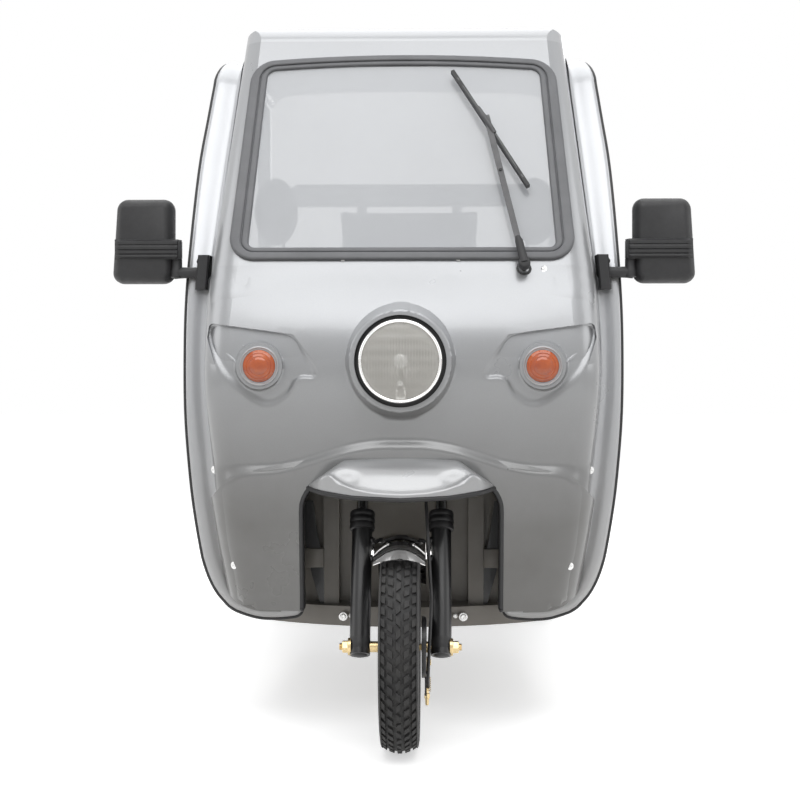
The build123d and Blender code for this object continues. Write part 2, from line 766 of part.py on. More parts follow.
def build_tailgate():
    front, rear = gate_s
    low, high = gate_z
    gate = block(-gate_half, gate_half, front, front + bed_sheet, low, high)
    cap = bed_cap[1]
    for z0, z1 in ((low, low + cap), (high - cap, high)):
        gate += block(-gate_half, gate_half, front, rear, z0, z1)
    ribs = 5
    for i in range(ribs):
        x = -gate_half + i * (2 * gate_half - cap) / (ribs - 1)
        gate += block(x, x + cap, front, rear, low, high)
    middle = (low + high) / 2
    gate += block(-gate_half, gate_half, front, rear + gate_rib, middle - cap, middle + cap)
    for x in knuckle_x:
        half = knuckle_long / 2
        gate += block(x - half, x + half, rear - sheet, hinge_s + knuckle_radius, hinge_z, low + cap)
        gate += cross_rod(x - half, x + half, hinge_s, hinge_z, knuckle_radius)
        pin = knuckle_long + half
        gate += cross_rod(x - pin, x + pin, hinge_s, hinge_z, knuckle_pin - pin_gap / 2)
    return gate


# Rear axle with its drive, leaf springs, fenders, battery box and lamps
axle_tube_radius = 35.0
axle_half = 385.0
spindle_radius = 14.0
backing_radius, backing_x = 105.0, (385.0, 397.0)
diff_radius, diff_half = 88.0, 62.0
motor_radius, motor_long, motor_x = 78.0, 210.0, 70.0
spring_x, spring_half = 300.0, 25.0
spring_s = (1735.0, 2425.0)
spring_eye_z = 470.0
spring_eye_radius = 18.0
spring_leaves = ((1.0, 10.0), (0.72, 10.0), (0.44, 10.0))
fender_gap, fender_wall = 40.0, 3.0
fender_x = (405.0, 523.0)
fender_low = 330.0
battery_half, battery_s, battery_z = 215.0, (1335.0, 1660.0), (300.0, 490.0)
lamp_x, lamp_s, lamp_tall_z = (385.0, 480.0), (2608.0, 2648.0), (508.0, 572.0)


def build_rear_axle():
    s = wheelbase
    axle = cross_rod(-axle_half, axle_half, s, axle_z, axle_tube_radius)
    axle += cross_rod(-rear_wheel_x - spindle_reach, rear_wheel_x + spindle_reach, s, axle_z, spindle_radius)
    axle += both_sides(cross_rod(*backing_x, s, axle_z, backing_radius))
    axle += cross_rod(-diff_half, diff_half, s, axle_z, diff_radius)
    motor = rod(point(motor_x, s - diff_radius - motor_long, axle_z), point(motor_x, s, axle_z), motor_radius)
    axle += motor
    leaf = spring_leaves[0][1] * len(spring_leaves)
    seat_top = axle_z + axle_tube_radius + sheet
    seat = block(spring_x - spring_half, spring_x + spring_half, s - 2 * spring_half, s + 2 * spring_half,
                 axle_z, seat_top)
    axle += both_sides(seat)
    return axle


spindle_reach = 42.0


def build_springs():
    start, end = spring_s
    mid = wheelbase
    base = axle_z + axle_tube_radius + sheet
    top = spring_eye_z - spring_eye_radius
    total = sum(thick for _, thick in spring_leaves)
    pack = None
    low = base + total
    chord = (end - start) / 2
    sag = top - low
    arc_radius = (chord**2 + sag**2) / (2 * sag)
    middle = Plane(origin=point(spring_x - spring_half, mid, low + arc_radius), z_dir=(1, 0, 0))
    for share, thick in spring_leaves:
        low -= thick
        ring = middle * Cylinder(
            arc_radius + base + total - low, 2 * spring_half, align=(Align.CENTER, Align.CENTER, Align.MIN)
        )
        ring -= middle * Cylinder(
            arc_radius + base + total - low - thick, 2 * spring_half,
            align=(Align.CENTER, Align.CENTER, Align.MIN),
        )
        leaf = ring & block(0, far, mid - chord * share, mid + chord * share, 0, top + spring_eye_radius)
        pack = leaf if pack is None else pack + leaf
    outer = rail_x + rail_width / 2
    for s in (start, end):
        pack += cross_rod(spring_x - spring_half, spring_x + spring_half, s, top + spring_eye_radius / 2,
                          spring_eye_radius)
        pack += block(outer, spring_x + spring_half, s - spring_eye_radius, s + spring_eye_radius,
                      top + spring_eye_radius / 2, rear_rail_z[1])
    return both_sides(pack)


def build_rear_fenders():
    inner = tyre_radius + fender_gap
    x0, x1 = fender_x
    ring = cross_rod(x0, x1, wheelbase, axle_z, inner + fender_wall)
    ring -= cross_rod(x0, x1, wheelbase, axle_z, inner)
    ring &= block(0, far, 0, far * 4, fender_low, far)
    strut_half = spring_half
    strut = block(x0, x1, wheelbase - strut_half, wheelbase + strut_half, axle_z + inner, bed_z[0])
    return both_sides(ring + strut)


def build_battery():
    low, high = battery_z
    box = block(-battery_half, battery_half, *battery_s, low, high)
    box = fillet(box.edges().filter_by(Axis.Z), seat_round)
    lip = rail_x + rail_width / 4
    return box + block(-lip, lip, *battery_s, high, rear_rail_z[0])


def build_tail_lamps():
    lamp = block(*lamp_x, *lamp_s, lamp_tall_z[0], rear_rail_z[1])
    return both_sides(fillet(lamp.faces().sort_by(Axis.Y)[-1].edges(), sheet))


# Foot brake on the floor
pedal_x, pedal_s, pedal_z = 120.0, 470.0, 430.0
pedal_pad = (70.0, 12.0, 50.0)


def build_foot_brake():
    low = front_rail_z[1] + floor_thick
    foot = block(pedal_x - 30, pedal_x + 30, pedal_s, pedal_s + 90, low, low + 2 * sheet)
    foot += rod(point(pedal_x, pedal_s + 60, low + sheet), point(pedal_x, pedal_s + 30, pedal_z), 8)
    wide, deep, tall = pedal_pad
    foot += block(pedal_x - wide / 2, pedal_x + wide / 2, pedal_s + 15, pedal_s + 15 + deep * 2, pedal_z - tall / 2,
                  pedal_z + tall / 2)
    return foot


# Steering: fork, front axle, fender, brake plate and cable, handlebar and its mirrors
leg_x = 96.0
slider_radius, slider_span = 24.5, (-20.0, 292.0)
seal_radius, seal_top = 30.0, 334.0
stanchion_radius, stanchion_span = 15.0, (180.0, 655.0)
crown_span, crown_back = (410.0, 450.0), (-32.0, 62.0)
clamp_span = (625.0, 650.0)
crown_half = 126.0
stem_radius = 15.0
axle_radius = 8.0
axle_ends = (-136.0, 141.0)
spacer_radius = 13.0
hub_radius, hub_half = 45.0, 44.0
bar_radius, bar_along = 11.0, 905.0
column_radius = 17.0
bar_points = ((110.0, 0.0, 0.0), (250.0, 40.0, 26.0), (385.0, 95.0, 30.0))
bar_round = 40.0
grip_radius, grip_long = 17.0, 120.0
pod_size = (190.0, 70.0, 58.0)
bar_mirror = (350.0, 545.0, 1328.0)
bar_mirror_size = (116.0, 26.0, 180.0)
front_fender_radius = (252.0, 268.0)
front_fender_half = 59.0
front_fender_wall = 2.5
front_fender_angles = (28.0, 123.3)
brake_x = (50.0, 57.0)
brake_radius = 72.0
lever_length = 78.0
cable_radius = 4.0


def build_fork():
    slider = rod(leg_place(leg_x, slider_span[0]), leg_place(leg_x, slider_span[1]), slider_radius)
    slider += rod(leg_place(leg_x, slider_span[1]), leg_place(leg_x, seal_top), seal_radius)
    slider -= rod(leg_place(leg_x, stanchion_span[0]), leg_place(leg_x, far), stanchion_radius)
    slider -= cross_rod(0, far, 0, axle_z, axle_radius)
    stanchion = rod(leg_place(leg_x, stanchion_span[0]), leg_place(leg_x, stanchion_span[1]), stanchion_radius)
    plane = Plane(origin=leg_place(0, crown_span[0]), x_dir=(1, 0, 0), z_dir=leg_up)

    def clamp_plate(along0, along1):
        low, high = crown_back
        wide = extrude(Plane(origin=leg_place(0, along0), x_dir=(1, 0, 0), z_dir=leg_up) *
                       Pos(0, 0, 0) * Rectangle(2 * crown_half, 2 * abs(low)), along1 - along0)
        hub = rod(leg_place(0, along0, axis_offset), leg_place(0, along1, axis_offset), abs(low))
        plate = wide + hub
        plate = fillet(plate.edges().filter_by(Axis(leg_place(0, 0), leg_up)), abs(low) / 3)
        for sign in (-1, 1):
            plate -= rod(leg_place(sign * leg_x, 0), leg_place(sign * leg_x, far), stanchion_radius)
        return plate

    crown = clamp_plate(*crown_span) + clamp_plate(*clamp_span)
    crown += rod(leg_place(0, crown_span[0], axis_offset), leg_place(0, clamp_span[1], axis_offset), stem_radius)
    return both_sides(slider), both_sides(stanchion), crown


def build_front_axle():
    axle = cross_rod(*axle_ends, 0, axle_z, axle_radius)
    inner = leg_x - slider_radius
    axle += both_sides(cross_rod(hub_half + moving_gap, inner, 0, axle_z, spacer_radius))
    for sign in (-1, 1):
        start = sign * (leg_x + slider_radius)
        nut = extrude(Plane(origin=point(start, 0, axle_z), z_dir=(sign, 0, 0)) *
                      RegularPolygon(spacer_radius, 6), spacer_radius)
        axle += nut
    sliders = both_sides(rod(leg_place(leg_x, slider_span[0]), leg_place(leg_x, slider_span[1]), slider_radius))
    ends = cross_rod(*axle_ends, 0, axle_z, axle_radius)
    return (axle - sliders) + ends


def build_front_fender():
    rim_r, crown_r = front_fender_radius
    half, wall = front_fender_half, front_fender_wall

    def arc_at(inset):
        return ThreePointArc((-half, rim_r - inset), (0, crown_r - inset), (half, rim_r - inset))

    top, under = arc_at(0), arc_at(wall)
    face = make_face(Curve() + [top, Line(top @ 1, under @ 1), under, Line(under @ 0, top @ 0)])
    start, end = front_fender_angles
    place = Plane(origin=point(0, 0, axle_z), x_dir=(1, 0, 0), z_dir=(0, 0, 1)).rotated((0, 0, 0))
    section = Plane(origin=point(0, 0, axle_z), x_dir=(1, 0, 0), z_dir=(0, -1, 0)) * face
    section = section.rotate(Axis(point(0, 0, axle_z), (1, 0, 0)), start - 90)
    body = revolve(section, Axis(point(0, 0, axle_z), (1, 0, 0)), end - start)
    stay = beam(leg_place(leg_x - slider_radius / 2 - half / 5, 215), leg_place(leg_x - slider_radius / 2 - half / 5, 262),
                slider_radius + half / 3, 2 * sheet)
    slider = rod(leg_place(leg_x, 0), leg_place(leg_x, slider_span[1]), slider_radius)
    body += both_sides(stay - slider)
    return body


def build_front_brake():
    plate = cross_rod(*brake_x, 0, axle_z, brake_radius)
    lever_x = brake_x[1]
    lever = rod(point(lever_x, 20, axle_z - 40), point(lever_x + 2 * sheet, 20, axle_z - 40), 12)
    lever += block(lever_x, lever_x + sheet, 12, 30, axle_z - 40 - lever_length, axle_z - 40)
    plate += lever
    plate -= cross_rod(0, far, 0, axle_z, spacer_radius)
    return plate


def build_cable():
    x = brake_x[1] + sheet + cable_radius
    points = [
        point(x, 21, axle_z - 100),
        point(x, -40, axle_z - 60),
        point(x + 8, -45, axle_z + 120),
        point(x - 5, 60, axle_z + 330),
        point(60, 120, 640),
        point(48, 235, 869),
        leg_place(60, bar_along, axis_offset),
    ]
    path = FilletPolyline(*points, radius=30)
    start = Plane(origin=path @ 0, z_dir=path % 0)
    bar = leg_place(0, bar_along, axis_offset)
    reach = Vector(bar_points[0][0], 0, 0)
    return sweep(start * Circle(cable_radius), path=path) - rod(bar - reach, bar + reach, bar_radius)


def bar_and_column():
    base = leg_place(0, bar_along, axis_offset)
    column = rod(leg_place(0, clamp_span[1], axis_offset), base, column_radius)
    right = [base + Vector(x, s, z) for x, s, z in bar_points]
    left = [Vector(-p.X, p.Y, p.Z) for p in right]
    path = FilletPolyline(*reversed(left), *right, radius=bar_round)
    start = Plane(origin=path @ 0, z_dir=path % 0)
    bar = sweep(start * Circle(bar_radius), path=path)
    reach = Vector(column_radius * 2, 0, 0)
    bar += rod(base - reach, base + reach, bar_radius * 1.6)
    return bar + column


def build_handlebar():
    base = leg_place(0, bar_along, axis_offset)
    end, knee = [base + Vector(*bar_points[i]) for i in (2, 1)]
    way = (knee - end).normalized()
    grip = rod(end - way * sheet, end + way * grip_long, grip_radius) - rod(end, end + way * far, bar_radius)
    wide, deep, tall = pod_size
    pod = Pos(*(base + Vector(0, -deep / 3, bar_radius * 1.6 + tall / 2))) * Box(wide, deep, tall)
    pod = fillet(pod.edges(), tall / 4)
    return bar_and_column(), both_sides(grip), pod


def build_bar_mirrors():
    x, s, z = bar_mirror
    wide, deep, tall = bar_mirror_size
    head = extrude(Plane(origin=point(x, s - deep / 2, z), x_dir=(1, 0, 0), z_dir=(0, 1, 0)) *
                   Ellipse(wide / 2, tall / 2), deep)
    head = fillet(head.faces().sort_by(Axis.Y)[0].edges(), deep / 3)
    knee = leg_place(0, bar_along, axis_offset) + Vector(*bar_points[1])
    start = knee + Vector(0, 0, bar_radius - pin_gap)
    elbow = point(x - wide / 3, s, z - tall)
    top = point(x, s, z)
    path = FilletPolyline(start, elbow, top, radius=bar_round / 2)
    stem = sweep(Plane(origin=path @ 0, z_dir=path % 0) * Circle(5), path=path)
    foot = rod(knee - Vector(0, 0, bar_radius), knee + Vector(0, 0, 2 * bar_radius), bar_radius)
    return both_sides(head + stem + foot) - bar_and_column()


# Wheels
front_tyre_width, rear_tyre_width = 92.0, 98.0
bead_radius = 153.0
rim_inner_radius = 138.0
rim_lip = 164.0
tread_share = 0.86
shoulder_drop = 14.0
hub_bore_gap = 1.0
spoke_count = 5


def ring_of(points, x, station):
    """Solid of revolution about a wheel's axis from (X, radius) points."""
    face = make_face(Polyline(*[(px, r) for px, r in points], close=True))
    section = Plane(origin=point(x, station, axle_z), x_dir=(1, 0, 0), z_dir=(0, -1, 0)) * face
    return revolve(section, Axis(point(x, station, axle_z), (1, 0, 0)), 360)


def tyre(x, station, width):
    half = width / 2
    tread = half * tread_share
    edges = [
        ThreePointArc((-tread, tyre_radius - shoulder_drop), (0, tyre_radius), (tread, tyre_radius - shoulder_drop)),
        ThreePointArc((tread, tyre_radius - shoulder_drop), (half, (tyre_radius + bead_radius) / 2 + shoulder_drop),
                      (half * 0.72, bead_radius)),
        Line((half * 0.72, bead_radius), (-half * 0.72, bead_radius)),
        ThreePointArc((-half * 0.72, bead_radius), (-half, (tyre_radius + bead_radius) / 2 + shoulder_drop),
                      (-tread, tyre_radius - shoulder_drop)),
    ]
    face = make_face(Wire(edges))
    section = Plane(origin=point(x, station, axle_z), x_dir=(1, 0, 0), z_dir=(0, -1, 0)) * face
    return revolve(section, Axis(point(x, station, axle_z), (1, 0, 0)), 360)


def rim(x, station, width, hub_r, hub_a, hub_b, bore):
    half = width / 2 * 0.72
    wall = sheet
    body = cross_rod(x - half, x + half, station, axle_z, bead_radius)
    body -= cross_rod(x - half, x + half, station, axle_z, bead_radius - wall)
    hub = cross_rod(x + hub_a, x + hub_b, station, axle_z, hub_r)
    body += hub
    centre = point(x, station, axle_z)
    for i in range(spoke_count):
        spoke = block(x - 7, x + 7, station - 16, station + 16, axle_z + hub_r - 2 * sheet, axle_z + bead_radius - wall / 2)
        body += spoke.rotate(Axis(centre, (1, 0, 0)), 360 / spoke_count * i)
    return body - cross_rod(x + hub_a, x + hub_b, station, axle_z, bore)


def build_all():
    front, roof, opening, arch = build_cab()
    edge = build_edge_trim(opening, arch)
    hood, hood_strip = build_hood()
    lamp_body, lamp_lens, ambers = build_lamps()
    glass, gasket = build_screen()
    arm, spindle, blade = build_wiper()
    front -= rod(screen_place(*wiper_pivot, -overrun), screen_place(*wiper_pivot, overrun), wiper_post_radius / 2)
    housings, mirrors, arms = build_door_mirrors(opening)
    box, cushion, back = build_seat()
    sliders, stanchions, crown = build_fork()
    bar, grips, pod = build_handlebar()
    bore = axle_radius + pin_gap
    rear_hub = (backing_radius - 20, 402 - rear_wheel_x, 48, spindle_radius + pin_gap)
    parts = {
        "front_shell": front,
        "roof_panel": roof,
        "edge_trim": edge + hood_strip,
        "windscreen_glass": glass,
        "windscreen_gasket": gasket,
        "fork_hood": hood,
        "headlamp_body": lamp_body,
        "headlamp_lens": lamp_lens,
        "indicator_lenses": ambers,
        "mirror_arms": arms,
        "mirror_housings": housings,
        "mirror_glasses": mirrors,
        "wiper_spindle": spindle,
        "wiper_arm": arm,
        "wiper_blade": blade,
        "floor_pan": build_floor(),
        "front_bulkhead": build_bulkhead(),
        "dash_panel": build_dash(),
        "seat_box": box,
        "seat_cushion": cushion,
        "seat_backrest": back,
        "rear_hoop": build_hoop(),
        "cargo_bed": build_bed(),
        "chassis_frame": build_chassis(),
        "rear_axle": build_rear_axle(),
        "leaf_springs": build_springs(),
        "rear_fenders": build_rear_fenders(),
        "battery_box": build_battery(),
        "tail_lamps": build_tail_lamps(),
        "foot_brake": build_foot_brake(),
        "tailgate": build_tailgate(),
        "fork_sliders": sliders,
        "fork_stanchions": stanchions,
        "fork_crown": crown,
        "front_axle": build_front_axle(),
        "front_fender": build_front_fender(),
        "front_brake_plate": build_front_brake(),
        "front_brake_cable": build_cable(),
        "handlebar": bar,
        "handlebar_grips": grips,
        "instrument_pod": pod,
        "bar_mirrors": build_bar_mirrors(),
        "front_tyre": tyre(0, 0, front_tyre_width),
        "front_rim": rim(0, 0, front_tyre_width, hub_radius, -hub_half, hub_half, bore),
        "rear_tyre_left": tyre(rear_wheel_x, wheelbase, rear_tyre_width),
        "rear_rim_left": rim(rear_wheel_x, wheelbase, rear_tyre_width, *rear_hub),
    }
    parts["rear_tyre_right"] = mirror(parts["rear_tyre_left"], Plane.YZ)
    parts["rear_rim_right"] = mirror(parts["rear_rim_left"], Plane.YZ)
    return parts


os.makedirs("parts", exist_ok=True)
for name, shape in build_all().items():
    save(name, shape)
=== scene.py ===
import math

import bmesh
import bpy
from mathutils import Matrix, Vector


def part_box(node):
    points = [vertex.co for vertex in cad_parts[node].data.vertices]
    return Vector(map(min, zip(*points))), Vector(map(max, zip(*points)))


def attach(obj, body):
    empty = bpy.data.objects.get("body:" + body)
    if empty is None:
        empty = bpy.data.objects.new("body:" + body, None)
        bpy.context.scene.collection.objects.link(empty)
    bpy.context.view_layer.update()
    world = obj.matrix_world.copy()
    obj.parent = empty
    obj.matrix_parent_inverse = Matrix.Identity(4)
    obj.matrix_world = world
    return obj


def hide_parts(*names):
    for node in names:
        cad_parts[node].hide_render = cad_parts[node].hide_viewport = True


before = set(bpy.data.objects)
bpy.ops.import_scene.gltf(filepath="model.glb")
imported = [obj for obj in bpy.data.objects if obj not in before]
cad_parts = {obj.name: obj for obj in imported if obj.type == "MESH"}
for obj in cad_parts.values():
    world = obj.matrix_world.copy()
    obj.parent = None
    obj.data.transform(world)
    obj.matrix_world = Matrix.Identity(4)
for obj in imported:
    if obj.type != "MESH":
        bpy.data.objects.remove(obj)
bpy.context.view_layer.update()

# Vehicle faces -Y. A station is the distance behind the front axle, in metres.
FRONT_AXLE_Y = -1.230
AXLE_Z = 0.245
FORWARD = (0, -1, 0)


def at(x, station, z):
    return Vector((x, FRONT_AXLE_Y + station, z))


# Materials

# The gloss varies on a finer scale than the colour; a bump's depth in metres
GLOSS_FINER, BUMP_DEEP = 3.1, 0.001


def new_material(name):
    material = bpy.data.materials.new(name)
    material.use_nodes = True
    tree = material.node_tree
    return material, tree, tree.nodes["Principled BSDF"]


def set_inputs(tree, node, inputs):
    """Sets a node's inputs by name or number: links a socket to them, or stores a value."""
    for key, value in inputs.items():
        if isinstance(value, bpy.types.NodeSocket):
            tree.links.new(value, node.inputs[key])
        else:
            node.inputs[key].default_value = value
    return node


def add_node(tree, kind, inputs=None):
    return set_inputs(tree, tree.nodes.new("ShaderNode" + kind), inputs or {})


def noise(tree, scale, detail=4.0):
    """Noise in object space."""
    place = add_node(tree, "TexCoord").outputs["Object"]
    node = add_node(tree, "TexNoise", {"Scale": scale, "Detail": detail, "Roughness": 0.6, "Vector": place})
    return node.outputs["Fac"]


def ramp(tree, fac, stops):
    """Colour ramp from (place, colour) stops."""
    node = add_node(tree, "ValToRGB", {"Fac": fac})
    elements = node.color_ramp.elements
    while len(elements) < len(stops):
        elements.new(0.5)
    for element, (place, colour) in zip(elements, stops):
        element.position = place
        element.color = (*colour, 1.0)
    return node.outputs["Color"]


def grey(value):
    return (value, value, value)


def finish_of(name, colours, rough, metal=0.0, scale=6.0, bump=0.0, bump_scale=400.0, coat=0.0):
    """Material with colour and roughness that vary, and a fine bump.
    colours holds the dark and the light colour, rough the smooth and the rough value."""
    material, tree, shader = new_material(name)
    set_inputs(tree, shader, {
        "Base Color": ramp(tree, noise(tree, scale), [(0.3, colours[0]), (0.7, colours[1])]),
        "Roughness": ramp(tree, noise(tree, scale * GLOSS_FINER),
                          [(0.25, grey(rough[0])), (0.75, grey(rough[1]))]),
        "Metallic": metal,
        "Coat Weight": coat,
    })
    if bump:
        node = add_node(tree, "Bump", {"Strength": bump, "Distance": BUMP_DEEP,
                                       "Height": noise(tree, bump_scale, 3.0)})
        set_inputs(tree, shader, {"Normal": node.outputs["Normal"]})
    return material


def glass_of(name, colour, rough, alpha, spec=0.6):
    """Thin clear glass or lens: mostly see-through, with a gloss."""
    material, tree, shader = new_material(name)
    paler = tuple(min(1.0, c * 1.05) for c in colour)
    set_inputs(tree, shader, {
        "Base Color": ramp(tree, noise(tree, 3.0), [(0.3, colour), (0.7, paler)]),
        "Roughness": rough,
        "Alpha": alpha,
        "Specular IOR Level": spec,
    })
    return material


def paint_of(name, dark, light, low_shade_colour, metal, most=0.45, top=0.85, foot=0.35):
    """Silver paint: fine flakes, slow changes of gloss, and painted shade low down that grows darker in
    patches towards the foot.
    """
    material, tree, shader = new_material(name)
    flakes = ramp(tree, noise(tree, 900.0, 2.0), [(0.3, dark), (0.7, light)])
    apart = add_node(tree, "SeparateXYZ", {0: add_node(tree, "TexCoord").outputs["Object"]})
    # Painted shade: from top down to foot the colour mixes towards a darker one, in patches, standing for
    # the darker ground reflected low down.
    height = add_node(tree, "MapRange", {
        "From Min": top, "From Max": foot, "To Max": most, "Value": apart.outputs["Z"]})
    patches = ramp(tree, noise(tree, 3.0), [(0.2, grey(0.75)), (0.8, grey(1.0))])
    patchy = add_node(tree, "Math", {0: height.outputs[0], 1: patches})
    patchy.operation = "MULTIPLY"
    low_shaded = add_node(tree, "MixRGB", {"Fac": patchy.outputs[0], "Color1": flakes, "Color2": (*low_shade_colour, 1.0)})
    set_inputs(tree, shader, {
        "Base Color": low_shaded.outputs[0],
        "Roughness": ramp(tree, noise(tree, 5.0), [(0.25, grey(0.26)), (0.75, grey(0.34))]),
        "Metallic": metal,
        "Coat Weight": 0.35,
        "Coat Roughness": 0.06,
    })
    return material


# Painted shade: the silver paint gets a mild darkening towards the bottom.
silver = paint_of("silver_paint", (0.440, 0.450, 0.466), (0.490, 0.500, 0.516), (0.30, 0.285, 0.255), 0.34)
# Painted shade: a darker copy of the silver paint for the front shell, made much darker towards its bottom
# for the dark ground it reflects.
shaded_shell_silver = paint_of("shaded_shell_silver", (0.385, 0.394, 0.408), (0.430, 0.440, 0.455), (0.075, 0.070, 0.058),
                        0.34, 0.86, 0.98, 0.52)
# Painted highlight: a lighter copy of the silver paint for the shell's lips, with a little painted shade low
# down.
highlit_lip_silver = paint_of("highlit_lip_silver", (0.560, 0.572, 0.592), (0.610, 0.622, 0.642), (0.40, 0.39, 0.37), 0.30)
frame_paint = finish_of("frame_paint", ((0.230, 0.215, 0.195), (0.270, 0.254, 0.230)), (0.42, 0.54), 0.2,
                        8.0,
                        bump=0.06, bump_scale=260.0, coat=0.15)
seal = finish_of("seal_rubber", ((0.140, 0.144, 0.153), (0.172, 0.176, 0.186)), (0.40, 0.52), 0.0, 14.0,
                 bump=0.08, bump_scale=500.0)
trim = finish_of("trim_rubber", ((0.014, 0.014, 0.015), (0.024, 0.024, 0.025)), (0.42, 0.56), 0.0, 14.0,
                 bump=0.08, bump_scale=500.0)
dark_plastic = finish_of("dark_plastic", ((0.020, 0.020, 0.021), (0.030, 0.030, 0.032)), (0.46, 0.58), 0.0,
                         20.0, bump=0.22, bump_scale=900.0)
black_steel = finish_of("black_steel", ((0.007, 0.007, 0.008), (0.015, 0.015, 0.016)), (0.30, 0.42), 0.0,
                        9.0, bump=0.05, bump_scale=400.0, coat=0.15)
chrome = finish_of("chrome", ((0.80, 0.79, 0.78), (0.86, 0.85, 0.84)), (0.03, 0.08), 1.0, 7.0)
zinc = finish_of("yellow_zinc", ((0.62, 0.46, 0.22), (0.80, 0.64, 0.38)), (0.24, 0.38), 1.0, 40.0)
zinc_white = finish_of("white_zinc", ((0.62, 0.62, 0.61), (0.78, 0.78, 0.77)), (0.22, 0.36), 1.0, 50.0)
tyre_rubber = finish_of("tyre_rubber", ((0.026, 0.026, 0.027), (0.046, 0.045, 0.044)), (0.60, 0.78), 0.0,
                        16.0, bump=0.25, bump_scale=600.0)
rim_metal = finish_of("rim_metal", ((0.42, 0.42, 0.43), (0.5, 0.5, 0.51)), (0.3, 0.42), 0.9, 10.0,
                      bump=0.06, bump_scale=600.0)
vinyl = finish_of("seat_vinyl", ((0.018, 0.018, 0.019), (0.030, 0.030, 0.031)), (0.36, 0.50), 0.0, 16.0,
                  bump=0.4, bump_scale=420.0)
mirror_face = finish_of("mirror_face", ((0.80, 0.82, 0.83), (0.84, 0.86, 0.87)), (0.02, 0.04), 1.0, 5.0)
window_glass = glass_of("window_glass", (0.60, 0.62, 0.65), 0.06, 0.62)
lamp_glass = glass_of("lamp_glass", (0.86, 0.85, 0.80), 0.05, 0.34, 0.8)
lamp_grey = finish_of("lamp_grey", ((0.50, 0.50, 0.49), (0.62, 0.62, 0.60)), (0.25, 0.4), 0.6, 30.0)
bezel_grey = finish_of("bezel_grey", ((0.40, 0.405, 0.415), (0.46, 0.465, 0.475)), (0.30, 0.42), 0.3, 20.0,
                       bump=0.06, bump_scale=700.0)
wiper_grey = finish_of("wiper_grey", ((0.075, 0.075, 0.078), (0.11, 0.11, 0.114)), (0.34, 0.48), 0.2, 25.0)
lens_white = finish_of("tab_white", ((0.72, 0.72, 0.72), (0.80, 0.80, 0.80)), (0.4, 0.5), 0.0, 30.0)
dark_glass = finish_of("dark_glass", ((0.008, 0.010, 0.012), (0.014, 0.016, 0.020)), (0.05, 0.10), 0.0, 9.0,
                       coat=0.8)
amber = finish_of("amber_lens", ((0.52, 0.075, 0.003), (0.68, 0.130, 0.006)), (0.08, 0.18), 0.0, 42.0,
                  coat=0.7)
red_lens = finish_of("red_lens", ((0.40, 0.008, 0.008), (0.55, 0.015, 0.012)), (0.10, 0.2), 0.0, 30.0,
                     coat=0.6)

FINISHES = (
    (frame_paint, "chassis_frame floor_pan front_bulkhead"),
    (silver, "roof_panel fork_hood seat_box rear_hoop cargo_bed tailgate"),
    (shaded_shell_silver, "front_shell"),
    (trim, "edge_trim wiper_blade front_brake_cable handlebar_grips"),
    (seal, "windscreen_gasket"),
    (window_glass, "windscreen_glass"),
    (lamp_glass, "headlamp_lens"),
    (amber, "indicator_lenses"),
    (red_lens, "tail_lamps"),
    (mirror_face, "mirror_glasses"),
    (dark_plastic, "mirror_arms mirror_housings wiper_spindle dash_panel"),
    (dark_plastic, "rear_fenders instrument_pod bar_mirrors"),
    (wiper_grey, "wiper_arm"),
    (vinyl, "seat_cushion seat_backrest"),
    (black_steel, "headlamp_body rear_axle leaf_springs battery_box foot_brake fork_crown fork_sliders"),
    (black_steel, "front_brake_plate handlebar"),
    (chrome, "fork_stanchions front_fender"),
    (zinc, "front_axle"),
    (tyre_rubber, "front_tyre rear_tyre_left rear_tyre_right"),
    (rim_metal, "front_rim rear_rim_left rear_rim_right"),
)
NODE_FINISH = {node: material for material, nodes in FINISHES for node in nodes.split()}


def dress(obj, material, crease_deg=32.0):
    """Gives a mesh its material and smooth shading with sharp creases."""
    obj.data.materials.clear()
    obj.data.materials.append(material)
    smooth_by_angle(obj.data, crease_deg)


def smooth_by_angle(data, crease_deg):
    """Shades smooth, and marks edges sharper than the angle."""
    work = bmesh.new()
    work.from_mesh(data)
    limit = math.radians(crease_deg)
    for face in work.faces:
        face.smooth = True
    sharp = [e.index for e in work.edges if len(e.link_faces) == 2 and e.calc_face_angle(0.0) > limit]
    work.free()
    data.polygons.foreach_set("use_smooth", [True] * len(data.polygons))
    marks = [False] * len(data.edges)
    for index in sharp:
        marks[index] = True
    layer = data.attributes.get("sharp_edge") or data.attributes.new("sharp_edge", "BOOLEAN", "EDGE")
    layer.data.foreach_set("value", marks)
    data.update()


for node_name, node_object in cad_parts.items():
    dress(node_object, NODE_FINISH[node_name])


# Mesh makers. Each adds to an open bmesh, so a piece can hold many parts.


def new_piece(name, work, material, body, crease_deg=32.0):
    """Object from a bmesh, with its material, riding on a body."""
    data = bpy.data.meshes.new(name)
    bmesh.ops.recalc_face_normals(work, faces=work.faces)
    work.to_mesh(data)
    work.free()
    piece = bpy.data.objects.new(name, data)
    bpy.context.collection.objects.link(piece)
    dress(piece, material, crease_deg)
    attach(piece, body)
    return piece


def turn_to(way):
    """Rotation that takes +Z to a direction."""
    return Vector(way).to_track_quat("Z", "Y").to_matrix().to_4x4()


